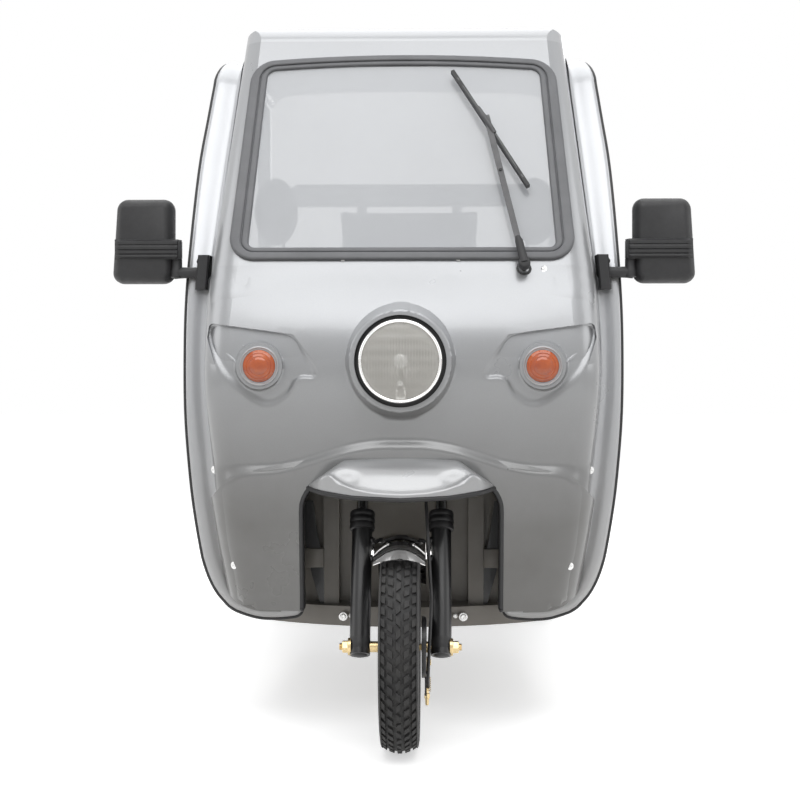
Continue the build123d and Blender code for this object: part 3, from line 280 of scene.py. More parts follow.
def add_lathe(work, place, way, profile, segments=32):
    """Surface of revolution about an axis from (along, radius) points; radius 0 closes it."""
    to_place = Matrix.Translation(place) @ turn_to(way)
    turns = [math.tau * i / segments for i in range(segments)]
    rings = [
        [work.verts.new(to_place @ Vector((radius * math.cos(a), radius * math.sin(a), along)))
         for a in (turns if radius else turns[:1])]
        for along, radius in profile
    ]
    for first, second in zip(rings, rings[1:]):
        for i in range(segments):
            j = (i + 1) % segments
            quad = (first[i % len(first)], first[j % len(first)], second[j % len(second)],
                    second[i % len(second)])
            unique = list(dict.fromkeys(quad))
            if len(unique) > 2:
                work.faces.new(unique)


def add_block(work, low, high, bevel, steps=2):
    """Box between two corners, bevelled."""
    low, high = Vector(low), Vector(high)
    place = Matrix.Translation((low + high) / 2) @ Matrix.Diagonal((*(high - low), 1.0))
    made = bmesh.ops.create_cube(work, size=1.0, matrix=place)
    edges = {e for v in made["verts"] for e in v.link_edges}
    bmesh.ops.bevel(work, geom=list(edges), offset=bevel, segments=steps, profile=0.5, affect="EDGES")


# Screw heads as (along, radius), both in radii of the head
HEX_HEAD = ((0.2, 1.0), (0.85, 1.0), (1.0, 0.85), (1.0, 0.3), (0.9, 0))
DOME_HEAD = ((0.25, 1.0), (0.5, 0.93), (0.75, 0.65), (0.82, 0.3), (0.55, 0.22), (0.5, 0))


def add_screw(work, place, out, radius, hexed=False, washer=1.7):
    """Screw head with a washer: domed with a cross slot's dish, or hexagonal."""
    disc = ((-0.6, washer), (0.18, washer), (0.28, washer - 0.12), (0.28, 1.0))
    for profile, sides in ((disc, 20), (HEX_HEAD, 6) if hexed else (DOME_HEAD, 20)):
        add_lathe(work, place, out, [(along * radius, reach * radius) for along, reach in profile], sides)


def add_tube(work, points, radius, segments=12):
    """Closed tube along points, with the section carried from run to run."""
    points = [Vector(p) for p in points]
    radii = radius if isinstance(radius, (list, tuple)) else [radius] * len(points)
    ways = [(b - a).normalized() for a, b in zip([points[0], *points], [*points[1:], points[-1]])]
    side = ways[0].orthogonal().normalized()
    rings = []
    for spot, way, reach in zip(points, ways, radii):
        side = (side - way * side.dot(way)).normalized()
        other = way.cross(side)
        rings.append([
            work.verts.new(spot + (side * math.cos(a) + other * math.sin(a)) * reach)
            for a in (math.tau * i / segments for i in range(segments))
        ])
    for first, second in zip(rings, rings[1:]):
        for i in range(segments):
            j = (i + 1) % segments
            work.faces.new((first[i], first[j], second[j], second[i]))
    work.faces.new(rings[0])
    work.faces.new(rings[-1])


def round_x(centre, radius, count, start=0.0):
    """Points on a circle about an axis along X."""
    turns = (math.tau * k / count + start for k in range(count))
    return [centre + Vector((0, radius * math.cos(a), radius * math.sin(a))) for a in turns]


def weld(work):
    """Joins vertices that lie on one another."""
    bmesh.ops.remove_doubles(work, verts=work.verts, dist=0.00001)


def smooth_route(points, steps=8):
    """Points on a Catmull-Rom curve through the given ones."""
    points = [Vector(p) for p in points]
    padded = [points[0] * 2 - points[1], *points, points[-1] * 2 - points[-2]]
    out = []
    for a, b, c, d in zip(padded, padded[1:], padded[2:], padded[3:]):
        for i in range(steps):
            t = i / steps
            out.append(0.5 * ((2 * b) + (c - a) * t + (2 * a - 5 * b + 4 * c - d) * t * t
                              + (3 * b - a - 3 * c + d) * t ** 3))
    out.append(points[-1])
    return out


def add_grid(work, rows):
    """Faces between rows of points."""
    made = [[work.verts.new(p) for p in row] for row in rows]
    for first, second in zip(made, made[1:]):
        for i in range(len(first) - 1):
            work.faces.new((first[i], first[i + 1], second[i + 1], second[i]))


def thicken(piece, depth, offset=-1.0):
    solid = piece.modifiers.new("sheet", "SOLIDIFY")
    solid.thickness = depth
    solid.offset = offset


def lerp(a, b, t):
    return a + (b - a) * t


def table(columns, x):
    """Value at x between the rows of a table of (x, value)."""
    if x <= columns[0][0]:
        return columns[0][1]
    for (x0, y0), (x1, y1) in zip(columns, columns[1:]):
        if x <= x1:
            return lerp(y0, y1, (x - x0) / (x1 - x0))
    return columns[-1][1]


# Hood over the fork: a pressed dome with two shallow dishes

HOOD_HALF = 0.221
HOOD_FRONT = ((0.0, -0.0440), (0.06, -0.0425), (0.112, -0.038), (0.150, -0.0255), (0.188, -0.006),
              (0.210, 0.026), (HOOD_HALF, 0.058))
HOOD_LIP = ((0.0, 0.597), (0.112, 0.6025), (0.17, 0.609), (HOOD_HALF, 0.618))
HOOD_TOP = ((0.0, 0.6985), (0.136, 0.6835), (0.16, 0.6655), (0.19, 0.644), (HOOD_HALF, 0.6225))
HOOD_RISE = ((-0.045, 0.592), (-0.030, 0.623), (-0.014, 0.648), (0.002, 0.667), (0.040, 0.696),
             (0.084, 0.712))
SKIN_FRONT = ((0.60, 0.052), (0.70, 0.031), (0.80, 0.005))
HOOD_DISH = (0.128, 0.644, 0.030, 0.0155)


def build_hood_skin():
    columns, rise, back = 72, 7, 22
    rows = []
    for i in range(columns + 1):
        u = -1 + 2 * i / columns
        x = HOOD_HALF * math.sin(u * math.pi / 2)
        far = abs(x)
        front, lip = table(HOOD_FRONT, far), table(HOOD_LIP, far)

        def top(station):
            return max(soft_min(table(HOOD_TOP, far), table(HOOD_RISE, station), 0.016), lip + 0.0015)

        limit = table(SKIN_FRONT, 0.66) + far * far / 4.6 + 0.006
        limit = max(limit, front + 0.004)
        wall = top(front + 0.008)
        round_off = min(0.008, (wall - lip) * 0.6)
        column = [at(x, front, lerp(lip, wall - round_off, k / rise)) for k in range(rise + 1)]
        for k in range(1, 5):
            a = math.pi / 2 * k / 5
            column.append(at(x, front + round_off * (1 - math.cos(a)),
                             wall - round_off * (1 - math.sin(a))))
        for k in range(1, back + 1):
            station = lerp(front + round_off, limit, (k / back) ** 1.15)
            column.append(at(x, station, top(station)))
        rows.append(column)
    work = bmesh.new()
    add_grid(work, rows)
    bmesh.ops.recalc_face_normals(work, faces=work.faces)
    for _ in range(3):
        inner = [v for v in work.verts if not v.is_boundary]
        bmesh.ops.smooth_vert(work, verts=inner, factor=0.5, use_axis_x=True, use_axis_y=True,
                              use_axis_z=True)
    dish_x, dish_z, half_x, half_z = HOOD_DISH
    for vert in work.verts:
        span = math.hypot((abs(vert.co.x) - dish_x) / half_x, (vert.co.z - dish_z) / half_z)
        if span < 1.15:
            vert.co.y += 0.0024 * min(1.0, (1.15 - span) / 0.3)
            vert.co.z -= 0.0012 * min(1.0, (1.15 - span) / 0.3)
    piece = new_piece("fork_hood_skin", work, silver, "chassis", 40.0)
    thicken(piece, 0.0035, 1.0 if piece.data.polygons[0].normal.y > 0 else -1.0)
    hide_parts("fork_hood")


# Tyres: a carcass with small staggered blocks

TYRES = (
    ("front_tyre", "front_wheel", 0.0, 0.0, 0.092),
    ("rear_tyre_left", "rear_wheel_left", 0.465, 2.080, 0.098),
    ("rear_tyre_right", "rear_wheel_right", -0.465, 2.080, 0.098),
)
TYRE_RADIUS, BEAD_RADIUS, TREAD_DEEP = 0.245, 0.153, 0.0055
# Columns: place across the tread, half width and length of a block, and its stagger round the tyre
TREAD_ROWS = (
    (-0.76, 0.115, 0.70, 0.0), (-0.40, 0.135, 0.62, 0.5), (0.0, 0.12, 0.66, 0.0), (0.40, 0.135, 0.62, 0.5),
    (0.76, 0.115, 0.70, 0.0),
)
TREAD_COUNT = 54


def crown_at(across, half):
    """Radius of the tread at a place across it, from -1 to 1."""
    return TYRE_RADIUS - 0.014 * (across / 0.86) ** 2 if abs(across) <= 0.86 else TYRE_RADIUS - 0.014


def build_tyre(node, body, x, station, width):
    half = width / 2
    work = bmesh.new()
    centre = at(x, station, AXLE_Z)
    drop = TREAD_DEEP
    profile = [(0.70, BEAD_RADIUS), (0.74, BEAD_RADIUS + 0.004), (0.90, 0.172), (0.965, 0.186),
               (0.985, 0.188), (0.985, 0.192), (0.998, 0.198), (1.0, 0.206), (0.985, 0.216),
               (0.955, 0.2235), (0.955, 0.2265), (0.93, 0.2295), (0.88, 0.2325)]
    profile = [(a * half, r) for a, r in profile]
    crown = [(a * half, crown_at(a, half) - drop) for a in (0.82, 0.6, 0.4, 0.2, 0.0)]
    side = profile + crown
    full = side + [(-a, r) for a, r in reversed(side[:-1])]
    inner = [(-0.5 * half, BEAD_RADIUS), (0.5 * half, BEAD_RADIUS)]
    add_lathe(work, centre, (1, 0, 0), full + inner + [full[0]], 96)
    step = math.tau / TREAD_COUNT
    for across, wide, long, stagger in TREAD_ROWS:
        for i in range(TREAD_COUNT):
            mid = (i + stagger) * step
            if across == 0:
                bend = 0.16 * step * (1 if i % 2 else -1)
            else:
                bend = 0.14 * step * math.copysign(1, across)
            corners = []
            for da, dt, skew in ((-1, -1, -1), (1, -1, 1), (1, 1, 1), (-1, 1, -1)):
                a = across + da * wide
                angle = mid + dt * long * step / 2 + skew * bend
                corners.append((a, angle))
            low_ring, top_ring = [], []
            for a, angle in corners:
                shrink_a = across + (a - across) * 0.88
                shrink_t = mid + (angle - mid) * 0.88
                for ring, aa, tt, radius in ((low_ring, a, angle, crown_at(a, half) - drop - 0.001),
                                             (top_ring, shrink_a, shrink_t, crown_at(a, half) - 0.0001)):
                    ring.append(work.verts.new(centre + Vector((
                        aa * half, radius * math.sin(tt), radius * math.cos(tt)))))
            work.faces.new(top_ring)
            for k in range(4):
                m = (k + 1) % 4
                work.faces.new((low_ring[k], low_ring[m], top_ring[m], top_ring[k]))
    piece = new_piece(node + "_tread", work, tyre_rubber, body, 30.0)
    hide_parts(node)


# Headlamp: reflector bowl, bulb cap, ring and a fluted lens

LAMP_Z = 0.917


def build_headlamp():
    place = at(0, 0, LAMP_Z)
    work = bmesh.new()
    bowl = [(0.036 - 0.085 * (1 - (r / 0.091) ** 2), r)
            for r in (0.0905, 0.086, 0.075, 0.06, 0.045, 0.03, 0.018)]
    add_lathe(work, place, FORWARD, bowl, 64)
    new_piece("headlamp_reflector", work, chrome, "chassis")
    work = bmesh.new()
    add_lathe(work, place, FORWARD, [(-0.052, 0.021), (0.012, 0.0185), (0.019, 0.0165), (0.022, 0.012),
                                     (0.0215, 0.006), (0.0205, 0)], 40)
    add_lathe(work, place + Vector((0, 0, -0.052)), FORWARD,
              [(-0.03, 0.0085), (0.004, 0.0085), (0.010, 0.006),
                                                              (0.012, 0)], 24)
    new_piece("headlamp_bulb_cap", work, lamp_grey, "chassis")
    work = bmesh.new()
    ring = [(0.026, 0.0955), (0.034, 0.0985), (0.0395, 0.0975), (0.0425, 0.0945), (0.042, 0.0915),
            (0.038, 0.0895), (0.034, 0.0885), (0.031, 0.0895)]
    add_lathe(work, place, FORWARD, ring, 96)
    new_piece("headlamp_ring", work, chrome, "chassis", 60.0)
    work = bmesh.new()
    spans, turns = 34, 120
    rows = []
    for k in range(spans + 1):
        r = 0.0898 * k / spans
        row = []
        for i in range(turns + 1):
            a = math.tau * i / turns
            x, z = r * math.cos(a), r * math.sin(a)
            out = 0.0345 + 0.0135 * (1 - (r / 0.0905) ** 2)
            band = 0.0 if r > 0.086 else 1.0
            flute = 0.0007 * math.cos(x / 0.0068 * math.tau) * band
            step = 0.0006 * math.cos(z / 0.026 * math.tau) * band
            row.append(place + Vector((x, -(out + flute + step), z)))
        rows.append(row)
    add_grid(work, rows)
    weld(work)
    lens = new_piece("headlamp_fluted_lens", work, lamp_glass, "chassis", 80.0)
    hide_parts("headlamp_lens")


# Indicators: a stepped amber dome in a grey bezel

INDICATOR = (0.334, 0.906)


def build_indicators():
    domes, bezels = bmesh.new(), bmesh.new()
    for sign in (-1, 1):
        place = at(sign * INDICATOR[0], 0, INDICATOR[1])
        dome = [(-0.022, 0.0385), (-0.006, 0.0385), (-0.0035, 0.0375), (-0.0025, 0.0355), (-0.001, 0.0345),
                (0.0005, 0.0315), (0.0, 0.0295), (0.0012, 0.0285), (0.0030, 0.0235), (0.0025, 0.0215),
                (0.0042, 0.0195), (0.0060, 0.013), (0.0068, 0.007), (0.0070, 0)]
        add_lathe(domes, place, FORWARD, [(a - 0.0015, r) for a, r in dome], 56)
        bezel = [(-0.020, 0.0492), (-0.0085, 0.0480), (-0.0055, 0.0465), (-0.0045, 0.0440),
                 (-0.0065, 0.0415), (-0.0065, 0.0392), (-0.012, 0.0388)]
        add_lathe(bezels, place, FORWARD, bezel, 56)
    lens = new_piece("indicator_domes", domes, amber, "chassis", 25.0)
    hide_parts("indicator_lenses")
    new_piece("indicator_bezels", bezels, bezel_grey, "chassis")


# Front skin: a dense sheet over the cab's lower front, with its pressed forms

# Columns: Z, station of the front centre, half width at the corner, radius of the front arc
CAB_ROWS = (
    (0.180, 0.134, 0.383, 2.3), (0.330, 0.118, 0.412, 2.3), (0.500, 0.092, 0.443, 2.3),
    (0.700, 0.050, 0.466, 2.3), (0.900, 0.000, 0.476, 2.3), (1.040, 0.036, 0.474, 2.9),
    (1.122, 0.081, 0.471, 6.5),
)
CAB_CORNER, CAB_SPREAD = 0.078, 0.14
SKIN_LOW, SKIN_HEAD = 0.345, 1.1205
SKIN_FOOT, SKIN_TURN = 0.3130, 0.3462
SKIN_PROUD = 0.0014
BOTTOM_HALF, BOTTOM_ROUND = 0.337, 0.130


def spline(xs, ys):
    """Natural cubic spline through points, as a function."""
    count = len(xs)
    steps = [b - a for a, b in zip(xs, xs[1:])]
    low, diag, high, right = [0.0] * count, [1.0] * count, [0.0] * count, [0.0] * count
    for i in range(1, count - 1):
        low[i], diag[i], high[i] = steps[i - 1], 2 * (steps[i - 1] + steps[i]), steps[i]
        right[i] = 3 * ((ys[i + 1] - ys[i]) / steps[i] - (ys[i] - ys[i - 1]) / steps[i - 1])
    for i in range(1, count):
        share = low[i] / diag[i - 1]
        diag[i] -= share * high[i - 1]
        right[i] -= share * right[i - 1]
    bend = [0.0] * count
    for i in range(count - 2, 0, -1):
        bend[i] = (right[i] - high[i] * bend[i + 1]) / diag[i]

    def value(x):
        i = 0
        while i < count - 2 and x > xs[i + 1]:
            i += 1
        t, h = x - xs[i], steps[i]
        slope = (ys[i + 1] - ys[i]) / h - h * (2 * bend[i] + bend[i + 1]) / 3
        return ys[i] + slope * t + bend[i] * t * t + (bend[i + 1] - bend[i]) / (3 * h) * t ** 3

    return value


CAB_Z = [row[0] for row in CAB_ROWS]
cab_front, cab_half, cab_arc = (spline(CAB_Z, [row[k] for row in CAB_ROWS]) for k in (1, 2, 3))


def outline_half(z):
    """Half width of the wall's front view."""
    bottom_z = SKIN_LOW + BOTTOM_ROUND
    turn = math.radians(80)
    knee = (BOTTOM_HALF + BOTTOM_ROUND * math.sin(turn), bottom_z - BOTTOM_ROUND * math.cos(turn))
    if z < knee[1]:
        return BOTTOM_HALF + math.sqrt(max(BOTTOM_ROUND ** 2 - (bottom_z - z) ** 2, 0.0))
    return arc_from(knee, 80.0, (0.501, 1.156), z)


def arc_from(start, way_deg, end, z):
    """X at height z on the arc that leaves start in a direction and ends at a point."""
    way = Vector((math.cos(math.radians(way_deg)), math.sin(math.radians(way_deg))))
    side = Vector((-way.y, way.x))
    chord = Vector(end) - Vector(start)
    radius = chord.length_squared / (2 * chord.dot(side))
    centre = Vector(start) + side * radius
    return centre.x + math.copysign(math.sqrt(max(radius ** 2 - (z - centre.y) ** 2, 0.0)),
                                    -radius * side.x)


def opening_station(z):
    """Station of the shell's rear edge."""
    return lerp(0.235, 0.270, (z - 0.120) / 1.0)


def section(z):
    """Right half of a plan section from the centre to the shell's edge: (x, station) by runs."""
    front, half, arc = cab_front(z), cab_half(z), cab_arc(z)
    corner_x = half - CAB_CORNER
    corner_s = front + arc - math.sqrt((arc - CAB_CORNER) ** 2 - corner_x ** 2)
    out = Vector((corner_x, corner_s - front - arc)).normalized()
    side = Vector((1, -CAB_SPREAD)).normalized()
    flat_x = corner_x + CAB_CORNER * out.x
    start, end = math.atan2(out.y, out.x), math.atan2(side.y, side.x)
    return front, arc, flat_x, (corner_x, corner_s), start, end


# How far the CAD shell stands before the plain skin: Z, in the middle, and at the corner
SKIN_EXTRA = ((0.30, 0.0095, 0.0095), (0.45, 0.0088, 0.0088), (0.54, 0.0040, 0.0040),
              (0.73, 0.0026, 0.0026), (0.78, 0.0, 0.0), (0.96, 0.0, 0.0), (1.00, 0.0006, 0.0030),
              (1.02, 0.0010, 0.0043), (1.045, 0.0, 0.0), (1.20, 0.0, 0.0))


def skin_point(u, z):
    """Place on the skin before its pressings, at u across it: front to 1, corner to 2, side to 3."""
    x, s = plain_point(u, z)
    near = table([(row[0], row[1]) for row in SKIN_EXTRA], z)
    far = table([(row[0], row[2]) for row in SKIN_EXTRA], z)
    return x, s - lerp(near, far, min(abs(u) / 1.8, 1.0)) * smooth_step(3.0 - abs(u))


def plain_point(u, z):
    front, arc, flat_x, corner, start, end = section(z)
    far = abs(u)
    if far <= 1:
        x = flat_x * far
        s = front + arc - math.sqrt(arc ** 2 - x ** 2)
    elif far <= 2:
        a = lerp(start, end, far - 1)
        x, s = corner[0] + CAB_CORNER * math.cos(a), corner[1] + CAB_CORNER * math.sin(a)
    else:
        x0, s0 = corner[0] + CAB_CORNER * math.cos(end), corner[1] + CAB_CORNER * math.sin(end)
        s = lerp(s0, opening_station(z) + 0.018, far - 2)
        x = x0 + CAB_SPREAD * (s - s0)
    return math.copysign(x, u), s


# Moustache: Z of its upper edge, and of its lower edge, by distance from the middle
MOUSTACHE_TOP = ((0.0, 0.7385), (0.05, 0.7375), (0.10, 0.7310), (0.15, 0.7185), (0.20, 0.7020),
                 (0.25, 0.6865), (0.30, 0.6770), (0.35, 0.6740), (0.40, 0.6745), (0.46, 0.6760),
                 (0.52, 0.6760))
MOUSTACHE_TALL = ((0.0, 0.034), (0.30, 0.031), (0.35, 0.033), (0.39, 0.042), (0.43, 0.072), (0.52, 0.110))
MOUSTACHE_DEEP = 0.0205
moustache_top = spline(*zip(*MOUSTACHE_TOP))
moustache_tall = spline(*zip(*MOUSTACHE_TALL))

# Eye-shaped recess: X, Z and the width of the slope down to its floor
EYE = (
    (0.462, 1.010, 0.006), (0.360, 0.996, 0.005), (0.254, 0.981, 0.007), (0.222, 0.939, 0.016),
    (0.191, 0.897, 0.016), (0.197, 0.870, 0.012), (0.242, 0.880, 0.010), (0.254, 0.850, 0.014),
    (0.268, 0.825, 0.022), (0.310, 0.801, 0.022), (0.355, 0.813, 0.026), (0.396, 0.851, 0.026),
    (0.437, 0.889, 0.024), (0.470, 0.975, 0.010),
)
EYE_DEEP = 0.0088


def rounded_loop(rows, times):
    """Corners cut twice as often as asked, so a loop of rows gets round corners."""
    for _ in range(times):
        out = []
        for a, b in zip(rows, rows[1:] + rows[:1]):
            share = min(0.3, 0.014 / max(math.hypot(b[0] - a[0], b[1] - a[1]), 0.014))
            out.append(tuple(lerp(p, q, share) for p, q in zip(a, b)))
            out.append(tuple(lerp(p, q, 1 - share) for p, q in zip(a, b)))
        rows = out
    return rows


EYE_LOOP = rounded_loop(list(EYE), 2)


def smooth_step(t):
    t = max(0.0, min(1.0, t))
    return t * t * (3 - 2 * t)


def eye_depth(x, z):
    """How far the eye-shaped recess goes in at a place of the front view."""
    x = abs(x)
    if not (0.185 < x < 0.475 and 0.795 < z < 1.015):
        return 0.0
    inside, share = False, 1.0
    for (x0, z0, w0), (x1, z1, w1) in zip(EYE_LOOP, EYE_LOOP[1:] + EYE_LOOP[:1]):
        if (z0 > z) != (z1 > z) and x < lerp(x0, x1, (z - z0) / (z1 - z0)):
            inside = not inside
        run_x, run_z = x1 - x0, z1 - z0
        t = max(0.0, min(1.0, ((x - x0) * run_x + (z - z0) * run_z) / (run_x ** 2 + run_z ** 2)))
        away = math.hypot(x - x0 - run_x * t, z - z0 - run_z * t)
        share = min(share, away / lerp(w0, w1, t))
    return EYE_DEEP * smooth_step(share) if inside else 0.0


def fold_depth(x, z):
    """Faint pressed fold beside the arch."""
    route = ((0.352, 0.588), (0.312, 0.580), (0.290, 0.556), (0.283, 0.515))
    away = min(
        math.hypot(abs(x) - lerp(a[0], b[0], t / 6), z - lerp(a[1], b[1], t / 6))
        for a, b in zip(route, route[1:]) for t in range(7)
    )
    return 0.0013 * smooth_step(1 - away / 0.020)


# Collars: radius of the hole, radius where the cone starts, and the face's station
LAMP_PLACE, LAMP_COLLAR = (0.0, LAMP_Z), (0.108, 0.1195, -0.0275)
EYE_PLACE, EYE_COLLAR = INDICATOR, (0.0385, 0.0465, 0.0070)


def collar_station(x, z, place, collar, slope):
    """Station of a collar's face and of its cone, at a place of the front view."""
    away = math.hypot(abs(x) - place[0], z - place[1])
    return collar[2] + max(0.0, away - collar[1]) * slope


def shaped_station(x, s, z):
    """Station of the skin with its pressed forms, from the plain skin's."""
    below = moustache_top(abs(x)) - z
    ledge = smooth_step(below / moustache_tall(abs(x)))
    s = s - MOUSTACHE_DEEP * ledge - SKIN_PROUD + eye_depth(x, z) + fold_depth(x, z)
    if math.hypot(x, z - LAMP_PLACE[1]) < 0.16:
        s = soft_min(s, collar_station(x, z, LAMP_PLACE, LAMP_COLLAR, 3.2), 0.005)
    if math.hypot(abs(x) - EYE_PLACE[0], z - EYE_PLACE[1]) < 0.075:
        s = soft_min(s, collar_station(x, z, EYE_PLACE, EYE_COLLAR, 2.2), 0.004)
    return s


def soft_min(a, b, width):
    """Smaller of two values, with the crease between them rounded."""
    blend = max(width - abs(a - b), 0.0) / width
    return min(a, b) - blend * blend * width / 4


def spaced(stops):
    """Values from stops of (value, step up to the next stop)."""
    out = []
    for (a, step), (b, _) in zip(stops, stops[1:]):
        count = max(1, round((b - a) / step))
        out += [lerp(a, b, i / count) for i in range(count)]
    return out + [stops[-1][0]]


def inside_arch(x, z):
    """True where the wheel arch is cut out of the skin."""
    x = abs(x)
    if x > 0.2395 or z > 0.6385:
        return False
    return x < 0.162 or z < 0.560 or math.hypot(x - 0.162, z - 0.560) < 0.0785


def build_front_skin():
    """Skin sheet from the foot to the screen's panel, over the CAD shell."""
    fine, wide = ((0.0036, 0.011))
    levels = spaced(((SKIN_FOOT, wide), (0.62, fine), (0.75, wide * 0.8), (0.79, fine), (1.055, wide * 0.7),
                     (SKIN_HEAD, 0.01)))
    across = spaced(((0.0, fine / 0.4), (1.0, 0.025), (2.0, 0.10), (3.0, 1.0)))
    across = [-u for u in reversed(across[1:])] + across
    work = bmesh.new()
    rows = []
    for z in levels:
        limit = outline_half(max(z + 0.033 * smooth_step((0.400 - z) / 0.087), SKIN_TURN))
        row = []
        for u in across:
            x, s = skin_point(u, max(z, SKIN_TURN))
            far = abs(x)
            if far > limit:
                s += (far - limit) * 1.2
                x = math.copysign(limit, x)
            s = shaped_station(x, s, max(z, SKIN_TURN))
            if z > 1.08 and far > 0.36:
                upper, outer = smooth_step((z - 1.08) / 0.03), smooth_step((far - 0.36) / 0.02)
                s += (SKIN_PROUD + 0.0006) * upper * outer
            grow = SKIN_PROUD * smooth_step((abs(u) - 1.2) / 0.8)
            row.append(at(x + math.copysign(grow, x), s, z))
        rows.append(row)
    foot = [p + Vector((0, 0.022, -0.0008)) for p in rows[0]]
    head = [p + Vector((0, 0.004, 0.0)) for p in rows[-1]]
    add_grid(work, [foot] + rows + [head])
    cut = []
    for face in work.faces:
        mid = face.calc_center_median()
        from_lamp = math.hypot(mid.x, mid.z - LAMP_PLACE[1])
        from_eye = math.hypot(abs(mid.x) - EYE_PLACE[0], mid.z - EYE_PLACE[1])
        in_hole = from_lamp < LAMP_COLLAR[0] - fine * 0.3 or from_eye < EYE_COLLAR[0] - fine * 0.5
        if in_hole or inside_arch(mid.x, mid.z):
            cut.append(face)
    bmesh.ops.delete(work, geom=cut, context="FACES")
    for vert in work.verts:
        for place, hole in ((LAMP_PLACE, LAMP_COLLAR[0]), (EYE_PLACE, EYE_COLLAR[0])):
            off = Vector((abs(vert.co.x) - place[0], vert.co.z - place[1]))
            if vert.is_boundary and off.length < hole + fine * 1.5:
                off = off.normalized() * hole
                vert.co.x, vert.co.z = math.copysign(place[0] + off.x, vert.co.x), place[1] + off.y
    new_piece("front_skin", work, shaded_shell_silver, "chassis", 55.0)


# Flange along the shell's edge: a rolled lip from the arch's foot to the roof, and along the roof's side

# Outer edge of the trim's front view, by Z
OUTLINE = ((0.2785, 0.390), (0.290, 0.4215), (0.310, 0.4475), (0.330, 0.4650), (0.350, 0.4780),
           (0.370, 0.4880), (0.390, 0.4960), (0.410, 0.5028), (0.450, 0.5120), (0.510, 0.5228),
           (0.591, 0.5347), (0.671, 0.5430), (0.751, 0.5495), (0.840, 0.5530), (0.933, 0.5535),
           (1.034, 0.5520), (1.095, 0.5495), (1.220, 0.5450), (1.373, 0.5383), (1.472, 0.5305),
           (1.540, 0.5220), (1.608, 0.5140), (1.677, 0.5050), (1.712, 0.4990))
outline_out = spline(*zip(*OUTLINE))
# Wall beside the flange, by Z
WALL = ((0.380, 0.4250), (0.400, 0.4300), (0.450, 0.4427), (0.500, 0.4516), (0.600, 0.4671),
        (0.700, 0.4781), (0.800, 0.4897), (0.900, 0.4958), (1.000, 0.4936), (1.100, 0.4854),
        (1.300, 0.4679), (1.500, 0.4499), (1.650, 0.4363), (1.700, 0.4318))
wall_out = spline(*zip(*WALL))
TRIM_REACH, TRIM_RADIUS = 0.0045, 0.0056
# Across the lip from the wall: share of its width, and how far it stands forwards
LIP = ((0.0, 0.022), (0.015, 0.0135), (0.05, 0.0075), (0.10, 0.0042), (0.17, 0.0026), (0.26, 0.0024),
       (0.36, 0.0036), (0.48, 0.0062), (0.60, 0.0088), (0.72, 0.0106), (0.82, 0.0112), (0.90, 0.0104),
       (0.96, 0.0082), (0.995, 0.0046), (1.0, 0.0), (0.99, -0.0065), (0.60, -0.0070))


def edge_line(z):
    """Station of the shell's rear edge, and its lean, at a height below the upper corner."""
    low, high, gentle, steep = 1.052, 1.184, 0.035, 0.390
    if z <= low:
        return 0.235 + gentle * (z - 0.120), gentle
    share = min(z, high) - low
    lean = gentle + (steep - gentle) * share / (high - low)
    s = 0.235 + gentle * (low - 0.120) + (gentle + lean) / 2 * share
    return s + steep * max(0.0, z - high), lean


# Flange's upper turn: Z where it starts, its radius, and the half width of the roof's lip and of its wall
TURN_Z, TURN_RADIUS, ROOF_LIP, ROOF_WALL = 1.652, 0.110, 0.4835, 0.4270
# Flange's lower turn: place (x, z) of its middle, and its radius
FOOT_MIDDLE, FOOT_RADIUS = (0.3375, 0.4410), 0.0960


def flange_ribs():
    """Ribs along the flange: wall foot and outer edge (x, station, z), and the way forwards (station, z)."""
    ribs = []
    for x, z in ((0.2535, 0.2960), (0.2565, 0.2875), (0.2630, 0.2820), (0.2720, 0.2790), (0.2900, 0.2765),
                 (0.3100, 0.2750), (0.3300, 0.2745)):
        ribs.append(((x, 0.2415, 0.346), (x, 0.2415, z), (-1.0, 0.0)))
    outer = [(0.350, 0.2755), (0.370, 0.2785)]
    outer += [(outline_out(z) - TRIM_REACH, z + TRIM_REACH * k) for z, k in (
        (0.2805, 0.9), (0.290, 0.8), (0.302, 0.7), (0.316, 0.6), (0.332, 0.5), (0.350, 0.4), (0.370, 0.3),
        (0.392, 0.2))]
    inner = []
    for i in range(len(outer)):
        a = math.radians(-82 + 76 * i / (len(outer) - 1))
        inner.append((FOOT_MIDDLE[0] + FOOT_RADIUS * math.cos(a),
                      FOOT_MIDDLE[1] + FOOT_RADIUS * math.sin(a)))
    for (xi, zi), (xo, zo) in zip(inner, outer):
        ribs.append(((xi, edge_line(zi)[0], zi), (xo, edge_line(zo)[0], zo), (-1.0, 0.0)))
    for z in spaced(((0.425, 0.03), (1.04, 0.02), (1.20, 0.04), (TURN_Z, 0.1))):
        s, lean = edge_line(z)
        size = math.hypot(1, lean)
        ribs.append(((wall_out(z) - 0.001, s, z), (outline_out(z) - TRIM_REACH, s, z),
                     (-1 / size, lean / size)))
    s, lean = edge_line(TURN_Z)
    start = math.atan(lean)
    for i in range(1, 9):
        a = lerp(start, math.pi / 2, i / 8)
        turn_s = s + TURN_RADIUS * (math.cos(start) - math.cos(a))
        turn_z = TURN_Z + TURN_RADIUS * (math.sin(a) - math.sin(start))
        xo = lerp(outline_out(TURN_Z), ROOF_LIP, smooth_step(i / 8)) - TRIM_REACH
        ribs.append(((lerp(0.4360, ROOF_WALL, i / 8), turn_s, turn_z), (xo, turn_s, turn_z),
                     (-math.cos(a), math.sin(a))))
    last_s, last_z = ribs[-1][0][1:]
    for s in spaced(((last_s + 0.05, 0.09), (1.2150, 0.1))):
        ribs.append(((ROOF_WALL, s, last_z), (ROOF_LIP - TRIM_REACH, s, last_z), (0.0, 1.0)))
    return ribs


